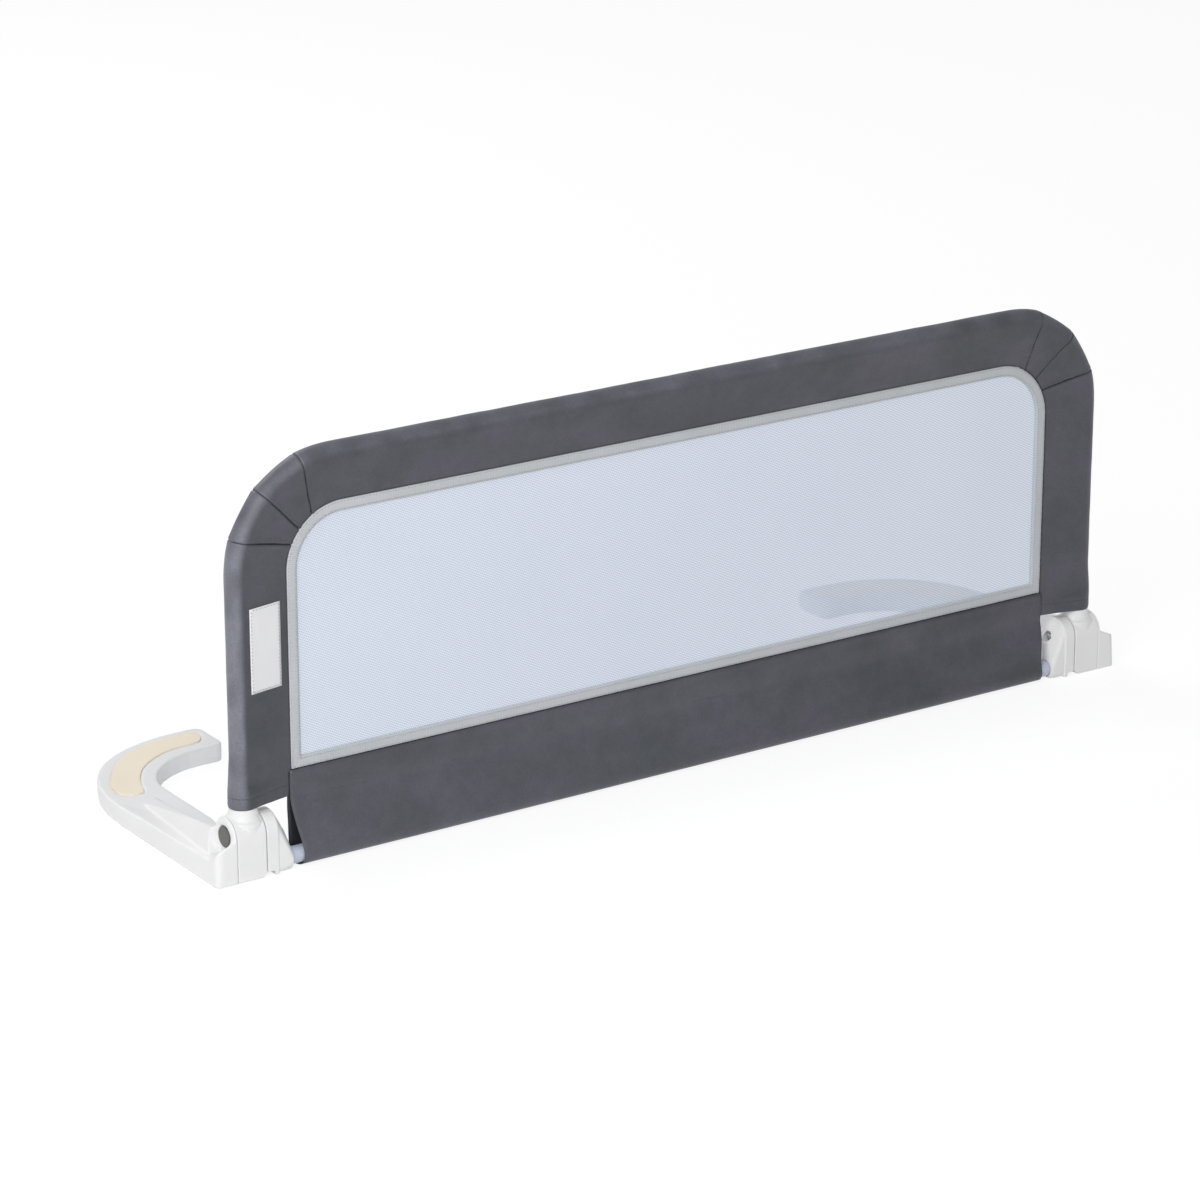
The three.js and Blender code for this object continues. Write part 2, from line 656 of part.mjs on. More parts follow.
function pivotNut() {
  const thread = turnedLengthwise(rod(NUT_FACE - OVERRUN, PLATE_BACK + OVERRUN, BOLT_RADIUS + FIT), TUBE_SIDES);
  return lengthwise(hexagon(NUT_RADIUS), NUT_FACE, PLATE_BACK).subtract(thread);
}

// Lock gear: a splined cup that slides in the block, with two lugs that stop the foot's swing

function lugOutline(radius, from, to) {
  return [
    ...arc(0, HINGE_HEIGHT, radius, from, to, 6),
    ...arc(0, HINGE_HEIGHT, GEAR_DISC_RADIUS / 2, to, from, 2),
  ];
}

const LUG_HALF = THREE.MathUtils.degToRad(GEAR_LUG_ANGLE / 2);

function lockGear() {
  const cup = lengthwise(
    splineOutline(SPLINE_RADIUS, SPLINE_TOOTH, 0),
    GEAR_FACE - GEAR_LENGTH,
    GEAR_FACE - GEAR_DISC,
  );
  const disc = turnedLengthwise(rod(GEAR_FACE - GEAR_LUG_LENGTH, GEAR_FACE, GEAR_DISC_RADIUS), ROUND);
  const lugs = [0, Math.PI].map((turn) => lengthwise(
    lugOutline(GEAR_LUG_RADIUS, turn - LUG_HALF, turn + LUG_HALF),
    GEAR_FACE - GEAR_LUG_LENGTH,
    GEAR_FACE,
  ));
  const hollow = turnedLengthwise(
    rod(GEAR_FACE - GEAR_LENGTH - OVERRUN, GEAR_FACE - GEAR_DISC, GEAR_CUP_RADIUS),
    ROUND,
  );
  const boltHole = turnedLengthwise(
    rod(GEAR_FACE - GEAR_LENGTH, GEAR_FACE + OVERRUN, BOLT_RADIUS + FIT),
    TUBE_SIDES,
  );
  return joined([cup, disc, ...lugs]).subtract(hollow).subtract(boltHole);
}

// Spring between the gear's cup and the end of the lock chamber

function lockSpring() {
  const wire = SPRING_WIRE / 2;
  const from = BLOCK_FACE - SPLINE_DEPTH + FIT + wire;
  const to = GEAR_FACE - GEAR_DISC - FIT - wire;
  const steps = SPRING_TURNS * 8;
  const sections = Array.from({ length: steps + 1 }, (_, i) => {
    const turn = (2 * Math.PI * i) / 8;
    const x = from + ((to - from) * i) / steps;
    const out = new THREE.Vector3(0, Math.cos(turn), Math.sin(turn));
    const place = (p) => new THREE.Vector3(x + p.y, 0, HINGE_HEIGHT).addScaledVector(out, SPRING_RADIUS + p.x);
    return { outline: circle(wire, 5), place };
  });
  return loft(sections);
}

// Release button: cap with a snap flange, and three legs that reach the lock gear

function aroundHinge(count, make) {
  return Array.from({ length: count }, (_, i) => {
    const turn = (2 * Math.PI * i) / count + Math.PI / 2;
    return make(LEG_CIRCLE * Math.cos(turn), HINGE_HEIGHT + LEG_CIRCLE * Math.sin(turn));
  });
}

function releaseButton() {
  const face = DISC_FACE + BUTTON_PROUD;
  const inside = face - BUTTON_CAP;
  const rim = inside - BUTTON_SKIRT_LENGTH;
  const flange = rim + BUTTON_FLANGE_THICKNESS;
  const cap = turnedLengthwise([[rim, BUTTON_RADIUS - BUTTON_SKIRT], [rim, BUTTON_RADIUS + BUTTON_FLANGE],
    [flange, BUTTON_RADIUS + BUTTON_FLANGE], [flange, BUTTON_RADIUS], [face - BUTTON_PROUD / 2, BUTTON_RADIUS],
    [face, BUTTON_RADIUS - BUTTON_PROUD / 2], [face, 0], [inside, 0], [inside, BUTTON_RADIUS - BUTTON_SKIRT],
    [rim, BUTTON_RADIUS - BUTTON_SKIRT]], ROUND);
  const legs = aroundHinge(LEG_COUNT, (y, z) =>
    turnedLengthwise(rod(GEAR_FACE + FIT, inside + OVERRUN, LEG_RADIUS), TUBE_SIDES / 2, y, z));
  return joined([cap, ...legs]);
}

// Foot

// The hooked sole in X and Y. The shares place the handles of its bends between their ends.
const OUTER_BEND_SHARES = [0.72, 0.57];
const INNER_BEND_SHARES = [0.55, 0.49];
const FLARE_SHARES = [0.6, 0.45];

function soleOutline() {
  const { lerp } = THREE.MathUtils;
  const inner = ARM_OUTSIDE - SOLE_WIDTH;
  const inside = FOOT_REACH - HOOK_WIDTH;
  const tipEnd = HOOK_TIP + HOOK_WIDTH / 2;
  const outerBend = new THREE.CubicBezierCurve(
    point(ARM_OUTSIDE, STRAIGHT_LENGTH),
    point(ARM_OUTSIDE, lerp(STRAIGHT_LENGTH, FOOT_REACH, OUTER_BEND_SHARES[0])),
    point(lerp(HOOK_TIP, ARM_OUTSIDE, OUTER_BEND_SHARES[1]), FOOT_REACH),
    point(tipEnd, FOOT_REACH),
  );
  const innerBend = new THREE.CubicBezierCurve(
    point(tipEnd, inside),
    point(lerp(tipEnd, inner, INNER_BEND_SHARES[0]), inside),
    point(inner, lerp(inside, ARM_END, INNER_BEND_SHARES[1])),
    point(inner, ARM_END),
  );
  const flare = new THREE.CubicBezierCurve(
    point(inner, FLARE_END),
    point(inner, lerp(FLARE_END, FLARE_START, FLARE_SHARES[0])),
    point(ARM_FACE, lerp(FLARE_START, FLARE_END, FLARE_SHARES[1])),
    point(ARM_FACE, FLARE_START),
  );
  const tip = rounded([[tipEnd, FOOT_REACH, 0], [HOOK_TIP, FOOT_REACH, HOOK_CORNER],
    [HOOK_TIP, inside, HOOK_CORNER], [tipEnd, inside, 0]], 4);
  return [...heelOutline(FRONT_CORNER_TOP).slice(1, -1), ...outerBend.getPoints(10), ...tip.slice(1, -1),
    ...innerBend.getPoints(9), ...flare.getPoints(6)];
}

function heelOutline(corner) {
  return rounded([[ARM_FACE, FLARE_START, 0], [ARM_FACE, -KNUCKLE_RADIUS, 0],
    [ARM_OUTSIDE, -KNUCKLE_RADIUS, corner], [ARM_OUTSIDE, FLARE_START, 0]], 5);
}

// Corners of the ridge's section, where the share runs from 0 at the knuckle to 1 where it has come down
function ridgeCorners(share) {
  const at = (from, to) => THREE.MathUtils.lerp(from, to, share);
  return {
    crest: point(ARM_OUTSIDE - at(CREST_INSET, CREST_END_INSET), at(CREST_HEIGHT, SOLE_THICKNESS)),
    crease: point(ARM_OUTSIDE - at(CREASE_INSET, CREASE_END_INSET), at(CREASE_HEIGHT, CREASE_END_HEIGHT)),
    ledge: point(ARM_OUTSIDE, at(LEDGE_HEIGHT, LEDGE_END_HEIGHT)),
  };
}

const ridgeShare = (y) => (y - KNUCKLE_RADIUS) / (RIDGE_END - KNUCKLE_RADIUS);

// Inner side of the ridge: beside the block, then along the crest
function ridgeFoot(y) {
  const { crest } = ridgeCorners(ridgeShare(y));
  return y > RIDGE_TURN ? crest.x - CREST_WIDTH : ARM_FACE;
}

function ridge() {
  const sections = [RIDGE_START, RIDGE_TURN, RIDGE_END].map((y) => {
    const { crest, crease, ledge } = ridgeCorners(ridgeShare(y));
    const foot = ridgeFoot(y);
    const outline = rounded([[foot, SOLE_THICKNESS / 2, 0], [foot, crest.y, CREST_ROUND],
      [crest.x, crest.y, CREST_ROUND], [crease.x, crease.y, 0], [ledge.x, ledge.y, LEDGE_ROUND],
      [ledge.x, SOLE_THICKNESS / 2, 0]], 2);
    return { outline, place: (p) => new THREE.Vector3(p.x, y, p.y) };
  });
  return solid(loft(sections));
}

// Core that hollows the ridge from below, a wall's thickness inside its crest and its slope
function ridgeCore() {
  const base = SOLE_THICKNESS / 2;
  const sections = [KNUCKLE_RADIUS + SOLE_WALL, RIDGE_TURN, RIDGE_TURN + SOLE_WALL, CORE_END].map((y) => {
    const { crest, crease } = ridgeCorners(ridgeShare(y));
    const fall = (crest.y - crease.y) / (crease.x - crest.x);
    const roof = crest.y - SOLE_WALL * Math.hypot(1, fall);
    const inside = ridgeFoot(y > RIDGE_TURN ? y : RIDGE_TURN) + SOLE_WALL;
    const top = Math.min(crest.y - SOLE_WALL, roof - fall * (inside + CORE_TOP - crest.x));
    const slopeAt = (z) => crest.x + (roof - z) / fall;
    const outline = [point(inside, base), point(slopeAt(base), base), point(slopeAt(top), top),
      point(inside, top)];
    return { outline, place: (p) => new THREE.Vector3(p.x, y, p.y) };
  });
  return solid(loft(sections));
}

// Front end of the arm: its lip rises in front of the button and falls away to the outside
function heel() {
  const side = rounded([[-KNUCKLE_RADIUS, 0, 0], [KNUCKLE_RADIUS + OVERRUN, 0, 0],
    [KNUCKLE_RADIUS + OVERRUN, LEDGE_HEIGHT, 0], [LIP_FOOT, LEDGE_HEIGHT + LEDGE_ROUND, FRONT_CORNER_TOP],
    [-LIP_BACK, LIP_HEIGHT, FRONT_CORNER], [-KNUCKLE_RADIUS, LIP_HEIGHT, LEDGE_ROUND]], 4);
  const front = [point(ARM_FACE, 0), point(ARM_OUTSIDE, 0), point(ARM_OUTSIDE, LIP_END_HEIGHT),
    point(DISC_FACE, LIP_HEIGHT), point(ARM_FACE, LIP_HEIGHT)];
  const corner = [[0, FRONT_CORNER], [LIP_HEIGHT + OVERRUN, FRONT_CORNER_TOP]].map(([z, radius]) => ({
    outline: heelOutline(radius),
    place: (p) => new THREE.Vector3(p.x, p.y, z),
  }));
  return lengthwise(side, ARM_FACE, ARM_OUTSIDE)
    .intersect(deepwise(front, -KNUCKLE_RADIUS, KNUCKLE_RADIUS + OVERRUN))
    .intersect(solid(loft(corner)));
}

// Hollow round the button, cut into the lip and the end of the ridge
function dish() {
  const floor = BUTTON_RADIUS + DISH_FLAT;
  return turnedLengthwise([[DISC_FACE, 0], [DISC_FACE, floor], [DISC_FACE + DISH_RADIUS - floor, DISH_RADIUS],
    [ARM_OUTSIDE + OVERRUN, DISH_RADIUS + DISH_DRAFT], [ARM_OUTSIDE + OVERRUN, 0]], ROUND);
}

// The pad's outline as shares of the hook: across from its tip, and along from the pad's near end
const PAD_SHARES = [[0.055, 0.887], [0.183, 0.919], [0.292, 0.911], [0.42, 0.879], [0.53, 0.806],
  [0.639, 0.718], [0.743, 0.565], [0.84, 0.371], [0.901, 0.185], [0.904, 0.065], [0.847, 0],
  [0.773, 0.008], [0.731, 0.153], [0.676, 0.306], [0.603, 0.444], [0.518, 0.548], [0.408, 0.637],
  [0.305, 0.685], [0.213, 0.694], [0.122, 0.71], [0.073, 0.782]];

function padOutline() {
  const places = PAD_SHARES.map(([across, along]) => new THREE.Vector3(
    THREE.MathUtils.lerp(HOOK_TIP, ARM_OUTSIDE, across),
    THREE.MathUtils.lerp(ARM_END, FOOT_REACH, along),
    0,
  ));
  const curve = new THREE.CatmullRomCurve3(places, true);
  return curve.getPoints(2 * PAD_SHARES.length).slice(1).map((p) => point(p.x, p.y));
}

// Hollow under the sole, crossed by ribs
function underside() {
  const hollow = upright(
    inset(soleOutline(), SOLE_WALL),
    -OVERRUN,
    SOLE_THICKNESS - PAD_RECESS - SOLE_WALL,
  );
  const ribs = [];
  for (let y = KNUCKLE_RADIUS + SOLE_WALL; y < FOOT_REACH; y += RIB_SPACING) {
    ribs.push(upright(
      [point(HOOK_TIP, y), point(ARM_OUTSIDE, y), point(ARM_OUTSIDE, y + RIB_THICKNESS),
        point(HOOK_TIP, y + RIB_THICKNESS)],
      0,
      SOLE_THICKNESS,
    ));
  }
  for (let x = HOOK_TIP + RIB_SPACING; x < ARM_OUTSIDE - SOLE_WIDTH; x += RIB_SPACING) {
    ribs.push(upright(
      [point(x, ARM_END), point(x + RIB_THICKNESS, ARM_END), point(x + RIB_THICKNESS, FOOT_REACH),
        point(x, FOOT_REACH)],
      0,
      SOLE_THICKNESS,
    ));
  }
  return hollow.add(ridgeCore()).subtract(joined(ribs));
}

// Hub that turns in the block's bearing: web for the bolt, pocket for the button, stops for the lugs
function hub() {
  const end = BLOCK_FACE - HUB_LENGTH;
  const ring = turnedLengthwise(rod(end, ARM_FACE + DISC_THICKNESS / 2, HUB_RADIUS), ROUND);
  const room = turnedLengthwise(rod(end - OVERRUN, WEB_BACK, GEAR_DISC_RADIUS + FIT), ROUND);
  const swing = THREE.MathUtils.degToRad(FOLD_ANGLE);
  const slack = THREE.MathUtils.degToRad(LUG_BACKLASH);
  const sweeps = [0, Math.PI].map((turn) => {
    const from = turn - swing - LUG_HALF - slack;
    const to = turn + LUG_HALF + slack;
    const outline = [...arc(0, HINGE_HEIGHT, GEAR_LUG_RADIUS + FIT, from, to, 14),
      ...arc(0, HINGE_HEIGHT, GEAR_DISC_RADIUS / 2, to, from, 6)];
    return lengthwise(outline, end - OVERRUN, WEB_BACK);
  });
  return ring.subtract(room).subtract(joined(sweeps));
}

// Face of the knuckle against the block, with the edge of its outer side broken
function knuckleDisc() {
  const edges = [[ARM_FACE, 0], [DISC_FACE - DISC_CHAMFER, 0], [DISC_FACE, DISC_CHAMFER]];
  return solid(loft(edges.map(([x, shrink]) => ({
    outline: jointOutline(0, shrink),
    place: (p) => new THREE.Vector3(x, p.x, p.y),
  }))));
}

function footArm() {
  const sole = upright(soleOutline(), 0, SOLE_THICKNESS);
  const pocket = turnedLengthwise(
    rod(WEB_FACE, DISC_FACE - BUTTON_SKIRT + FIT, BUTTON_RADIUS + BUTTON_FLANGE + FIT),
    ROUND,
  );
  const opening = turnedLengthwise(rod(WEB_FACE, ARM_OUTSIDE + OVERRUN, BUTTON_RADIUS + FIT), ROUND);
  const boltHole = turnedLengthwise(rod(WEB_BACK - OVERRUN, WEB_FACE + OVERRUN, BOLT_RADIUS + FIT), TUBE_SIDES);
  const legHoles = aroundHinge(LEG_COUNT, (y, z) =>
    turnedLengthwise(rod(WEB_BACK - OVERRUN, WEB_FACE + OVERRUN, LEG_RADIUS + FIT), TUBE_SIDES / 2, y, z));
  const padRecess = upright(
    inset(padOutline(), -PAD_MARGIN),
    SOLE_THICKNESS - PAD_RECESS,
    SOLE_THICKNESS + OVERRUN,
  );
  return joined([sole, heel(), ridge()])
    .subtract(dish())
    .add(knuckleDisc())
    .subtract(underside())
    .add(hub())
    .subtract(pocket)
    .subtract(opening)
    .subtract(boltHole)
    .subtract(joined(legHoles))
    .subtract(padRecess);
}

function gripPad() {
  return upright(padOutline(), SOLE_THICKNESS - PAD_RECESS + FIT, SOLE_THICKNESS + PAD_PROUD);
}

// Fabric cover

// Point of the window's rounded corner, at an angle about the centre of the tube's bend
function windowPoint(angle) {
  const cornerX = WINDOW_HALF_WIDTH - WINDOW_CORNER - ARC_X;
  const cornerZ = WINDOW_TOP - WINDOW_CORNER - ARC_Z;
  const along = cornerX * Math.cos(angle) + cornerZ * Math.sin(angle);
  const reach = along + Math.sqrt(along ** 2 + WINDOW_CORNER ** 2 - cornerX ** 2 - cornerZ ** 2);
  return point(ARC_X + reach * Math.cos(angle), ARC_Z + reach * Math.sin(angle));
}

// A section of the cover from a point on the tube's centre line to a point on the window's edge,
// in X and Z, moved along the cover by a shift
function coverStation(tube, edge, radius, shift = 0) {
  const across = tube.clone().sub(edge).normalize();
  const place = (p) => new THREE.Vector3(
    tube.x + across.x * p.x - across.y * shift,
    p.y,
    tube.y + across.y * p.x + across.x * shift,
  );
  return { place, radius, depth: tube.distanceTo(edge) };
}

// Section of the sleeve: round over the tube, drawn in flat to the edge at the window.
// The first coordinate points away from the window.
function sleeveSection(radius, depth, edge) {
  const lean = Math.asin((radius - edge) / depth);
  const start = Math.PI / 2 + lean;
  return [
    point(-depth, edge),
    point(-depth, -edge),
    ...arc(0, 0, radius, -start, start, TUBE_SIDES - 2),
  ];
}

function sleevePiece(stations) {
  return hollowLoft(stations.map(({ place, radius, depth }) => ({
    place,
    outer: sleeveSection(radius, depth, EDGE_THICKNESS / 2),
    inner: sleeveSection(radius - FABRIC, depth - SEAM_ALLOWANCE, FABRIC / 2),
  })));
}

// Stations round the corner, between two seams given as [angle at the tube, angle at the window]
function cornerStations(from, to) {
  return [0, 1, 2, 3, 4].map((i) => {
    const [turn, edge] = [0, 1].map((k) =>
      THREE.MathUtils.degToRad(THREE.MathUtils.lerp(from[k], to[k], i / 4)));
    const tube = point(ARC_X + CORNER_RADIUS * Math.cos(turn), ARC_Z + CORNER_RADIUS * Math.sin(turn));
    const starts = i === 0 && turn > 0;
    const ends = i === 4 && turn < Math.PI / 2;
    return coverStation(tube, windowPoint(edge), SLEEVE_RADIUS, (Number(starts) - Number(ends)) * (FIT / 2));
  });
}

const SEAMS = SEAM_TUBE_ANGLES.map((angle, i) => [angle, SEAM_WINDOW_ANGLES[i]]);

function postSleeve() {
  const at = (z, radius, edge) => coverStation(point(HALF_SPACING, z), point(edge, z), radius);
  const hem = PANEL_HALF_WIDTH + FIT;
  return sleevePiece([
    at(COVER_BOTTOM, GRIP_SLEEVE_RADIUS, hem),
    at(COLLAR_GRIP_HEIGHT, GRIP_SLEEVE_RADIUS, hem),
    at(COLLAR_GRIP_HEIGHT + COLLAR_GRIP_TAPER, SLEEVE_RADIUS, hem),
    at(WINDOW_BOTTOM - FIT / 2, SLEEVE_RADIUS, hem),
    at(WINDOW_BOTTOM, SLEEVE_RADIUS, WINDOW_HALF_WIDTH),
    at(WINDOW_TOP - WINDOW_CORNER, SLEEVE_RADIUS, WINDOW_HALF_WIDTH),
    ...cornerStations([0, 0], SEAMS[0]),
  ]);
}

function topSleeve() {
  const straight = WINDOW_HALF_WIDTH - WINDOW_CORNER;
  const right = [
    ...cornerStations(SEAMS[2], [90, 90]),
    coverStation(point(straight, RAIL_HEIGHT), point(straight, WINDOW_TOP), SLEEVE_RADIUS),
  ];
  const left = right.map(({ place, radius, depth }) => ({
    place: (p) => place(p).multiply(new THREE.Vector3(-1, 1, 1)),
    radius,
    depth,
  }));
  return sleevePiece([...right, ...left.reverse()]);
}

function windowOutline(margin) {
  const half = WINDOW_HALF_WIDTH - margin;
  return rounded([[-half, WINDOW_BOTTOM + margin, 0], [half, WINDOW_BOTTOM + margin, 0],
    [half, WINDOW_TOP - margin, WINDOW_CORNER - margin],
    [-half, WINDOW_TOP - margin, WINDOW_CORNER - margin]], 8);
}

function windowBinding() {
  const half = EDGE_THICKNESS / 2 + BINDING_PROUD;
  const outer = deepwise(windowOutline(FIT), -half, half);
  const opening = deepwise(windowOutline(BINDING_WIDTH), -half - OVERRUN, half + OVERRUN);
  return outer.subtract(opening);
}

function windowMesh() {
  return deepwise(windowOutline(BINDING_WIDTH + FIT), -MESH_THICKNESS / 2, MESH_THICKNESS / 2);
}

// Lower panel: a pocket round the cross tube, sewn flat above it. The section is in Y and Z.
function lowerPanel() {
  const top = WINDOW_BOTTOM - FIT;
  const edge = EDGE_THICKNESS / 2;
  const around = (radius, half, height) => {
    const angles = [-half, half].map((y) => {
      const reach = point(y - CROSS_SETBACK, height - CROSS_HEIGHT);
      return [reach.angle(), Math.acos(radius / reach.length())];
    });
    const from = angles[0][0] + angles[0][1];
    const to = 2 * Math.PI + angles[1][0] - angles[1][1];
    return arc(CROSS_SETBACK, CROSS_HEIGHT, radius, from, to, TUBE_SIDES);
  };
  const outside = [point(edge, POCKET_TOP), point(edge, top), point(-edge, top), point(-edge, POCKET_TOP),
    ...around(CROSS_RADIUS + FIT + FABRIC, edge, POCKET_TOP)];
  const fork = POCKET_TOP - SEAM_ALLOWANCE;
  const inside = [point(0, fork), ...around(CROSS_RADIUS + FIT, 0, fork)];
  const body = lengthwise(outside, -PANEL_HALF_WIDTH, PANEL_HALF_WIDTH);
  return body.subtract(lengthwise(inside, -PANEL_HALF_WIDTH - OVERRUN, PANEL_HALF_WIDTH + OVERRUN));
}

// Blank sewn patch on the front of one post
function patch() {
  const depth = HALF_SPACING - WINDOW_HALF_WIDTH;
  const lean = Math.asin((SLEEVE_RADIUS - EDGE_THICKNESS / 2) / depth);
  const lift = SLEEVE_RADIUS + FIT;
  const top = ARC_Z - PATCH_DROP;
  const far = -PATCH_INSET - PATCH_WIDTH;
  const outline = [point(far, top - PATCH_HEIGHT), point(-PATCH_INSET, top - PATCH_HEIGHT),
    point(-PATCH_INSET, top), point(far, top)];
  const body = deepwise(outline, -lift - PATCH_THICKNESS, -lift);
  return geometryOf(body).rotateZ(-lean).translate(HALF_SPACING, 0, 0);
}

// The rail, put together. Pieces of one side are drawn on the right and mirrored for the left.

function side(name, mirror) {
  const group = new THREE.Group();
  group.add(
    piece(`${name}_post_tube`, postTube(), TUBE_WHITE),
    piece(`${name}_post_screw`, postScrew(), STEEL),
    piece(`${name}_hinge_block`, hingeBlock(), PLASTIC_WHITE),
    piece(`${name}_inner_bracket`, innerBracket(), PLASTIC_WHITE),
    piece(`${name}_pivot_bolt`, pivotBolt(), STEEL),
    piece(`${name}_pivot_nut`, pivotNut(), STEEL),
    piece(`${name}_lock_gear`, lockGear(), PLASTIC_GREY),
    piece(`${name}_lock_spring`, lockSpring(), STEEL),
    piece(`${name}_release_button`, releaseButton(), PLASTIC_GREY),
    piece(`${name}_foot_arm`, footArm(), PLASTIC_WHITE),
    piece(`${name}_grip_pad`, gripPad(), RUBBER_CREAM),
    piece(`${name}_post_sleeve`, postSleeve(), FABRIC_DARK),
    piece(`${name}_lower_gusset`, sleevePiece(cornerStations(SEAMS[0], SEAMS[1])), FABRIC_DARK),
    piece(`${name}_upper_gusset`, sleevePiece(cornerStations(SEAMS[1], SEAMS[2])), FABRIC_DARK),
  );
  group.scale.x = mirror;
  return group;
}

function middle() {
  const group = new THREE.Group();
  const leftPatch = piece('sewn_patch', patch(), FABRIC_PATCH);
  leftPatch.scale.x = -1;
  group.add(
    piece('top_tube', topTube(), TUBE_WHITE),
    piece('right_cross_tube', rightCrossTube(), TUBE_WHITE),
    piece('left_cross_tube', leftCrossTube(), TUBE_WHITE),
    piece('top_sleeve', topSleeve(), FABRIC_DARK),
    piece('window_binding', windowBinding(), FABRIC_BINDING),
    piece('window_mesh', windowMesh(), FABRIC_MESH),
    piece('lower_panel', lowerPanel(), FABRIC_DARK),
    leftPatch,
  );
  return group;
}

const rail = new THREE.Group();
rail.add(side('right', 1), side('left', -1), middle());
rail.position.y = (KNUCKLE_RADIUS - FOOT_REACH) / 2;

export default rail;
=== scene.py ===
"""A folding bed guard rail: sewn cover with a mesh window on a tube frame, and two hooked feet.

Every size below is in millimetres in the rail's own layout, with the posts' axes at y = 0.
spot() turns a place in that layout into the frame's metres.
"""

import math

import bpy
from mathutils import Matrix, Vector, noise


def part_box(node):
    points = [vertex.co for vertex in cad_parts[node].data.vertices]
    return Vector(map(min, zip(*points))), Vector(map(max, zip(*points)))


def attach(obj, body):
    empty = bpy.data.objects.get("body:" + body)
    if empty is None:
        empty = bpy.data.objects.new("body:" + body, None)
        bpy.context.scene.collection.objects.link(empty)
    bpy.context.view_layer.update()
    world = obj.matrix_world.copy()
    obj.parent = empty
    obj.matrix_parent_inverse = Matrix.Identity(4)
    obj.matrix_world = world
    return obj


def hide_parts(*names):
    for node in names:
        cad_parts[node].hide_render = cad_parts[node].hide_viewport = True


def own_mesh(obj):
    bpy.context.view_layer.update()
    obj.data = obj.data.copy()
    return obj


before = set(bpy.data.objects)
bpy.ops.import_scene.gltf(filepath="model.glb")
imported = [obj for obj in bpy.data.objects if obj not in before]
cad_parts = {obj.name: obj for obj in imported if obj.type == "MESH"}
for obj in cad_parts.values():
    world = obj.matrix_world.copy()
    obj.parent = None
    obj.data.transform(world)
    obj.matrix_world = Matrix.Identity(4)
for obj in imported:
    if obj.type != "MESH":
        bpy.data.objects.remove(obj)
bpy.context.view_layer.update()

# The rail's sizes

LAYOUT_Y = -146  # the posts' axes in the frame
POST_X = 490
TUBE_Z = 385.3
BEND_R = 100
BEND_X = POST_X - BEND_R
BEND_Z = TUBE_Z - BEND_R
SLEEVE_R = 11.5
GRIP_R = 13.9
COVER_BOTTOM = 67
EDGE = 2.4  # half the thickness of the cover where it meets the window
WINDOW_X = 440
WINDOW_TOP = 341.4
WINDOW_BOTTOM = 91.9
WINDOW_CORNER = 60
BINDING = 11
PANEL_X = 442
PANEL_LOW_X = 435.5  # the panel's front is drawn in where its pocket hangs on the cross tube
HEM_LINE = 78
COLLAR_TOP = (80, 91)  # where the cloth comes in from the collar to the tube
SLACK_TOP = 122  # where its slack ends above the collar
CLOTH = 0.8  # thickness of the slate cloth
POCKET = (-6.5, 10.1, 9.6)  # y, z and radius of the pocket round the cross tube
POCKET_TOP = 62
SEAMS = ((20, 27), (45, 45), (70, 65))  # degrees at the tube and at the window
CORNER_OUTER = 111  # radius of the cover's corner at the tube, and at the window
CORNER_INNER = 56
GROOVE = 0.8  # a seam's groove, and the welt beside it: width, place and width
WELT = (2.3, 1.2)
PUCKER_REACH = 7  # how far from a seam the cloth still puckers
WAVE, RIPPLE = 34, 11  # lengths of the cloth's slow and quick waviness
POST_SEED, LOWER_SEED, UPPER_SEED, TOP_SEED = 3.7, 8.1, 5.9, 1.3  # each part's own waviness
TAPE_SECTION = (  # inset from the tape's outer edge, and across
    (0.3, -1.2),
    (0.5, -2.3),
    (1.2, -2.8),
    (3.6, -2.95),
    (7.4, -2.9),
    (10, -2.7),
    (10.9, -2.1),
    (11, -0.6),
)
NET_TUCK = 3  # how far the net reaches into the tape
STITCH = ((-1.15, 0.16), (-0.6, 0.3), (0.6, 0.3), (1.15, 0.16))  # along it, and its radius there
STITCH_SIDES = 6
TAPE_PITCH, SEAM_PITCH, HEM_PITCH = 3.4, 3.6, 3.2  # from one stitch to the next
LABEL_HALF = (17.6, 40.6)
LABEL_SEAM = 1.8  # from the label's edge to its stitches


def spot(x, y, z):
    """A place in the rail's layout, in the frame's metres."""
    return Vector((x, y + LAYOUT_Y, z)) / 1000


def blend_in(value, low, high):
    """0 below low, 1 above high, smooth between."""
    t = min(max((value - low) / (high - low), 0), 1)
    return t * t * (3 - 2 * t)


def lerp(a, b, t):
    """From a to b as t goes from 0 to 1."""
    return a + (b - a) * t


# Materials


def linear(code):
    """sRGB hex to the linear colour that a shader takes."""
    parts = [int(code[i : i + 2], 16) / 255 for i in (1, 3, 5)]
    return (*[c / 12.92 if c <= 0.04045 else ((c + 0.055) / 1.055) ** 2.4 for c in parts], 1)


def add(tree, kind, inputs=None, **settings):
    """Adds one node with its settings; inputs take values or other nodes' sockets."""
    made = tree.nodes.new(kind)
    for name, value in settings.items():
        setattr(made, name, value)
    for name, value in (inputs or {}).items():
        if isinstance(value, bpy.types.NodeSocket):
            tree.links.new(value, made.inputs[name])
        else:
            made.inputs[name].default_value = value
    return made


def material(name):
    """A new material and its node tree, with only the output in it."""
    made = bpy.data.materials.new(name)
    made.use_nodes = True
    made.node_tree.nodes.clear()
    return made, made.node_tree


def wave_scale(spacing):
    """A wave texture's scale for threads or ribs a spacing in millimetres apart. At a scale of 1
    it draws one every 2 pi / 20 metres."""
    return 2 * math.pi / spacing / 20 * 1000


def grain_scale(size):
    """A noise texture's scale for clouds or grains of a size in millimetres."""
    return 1000 / size


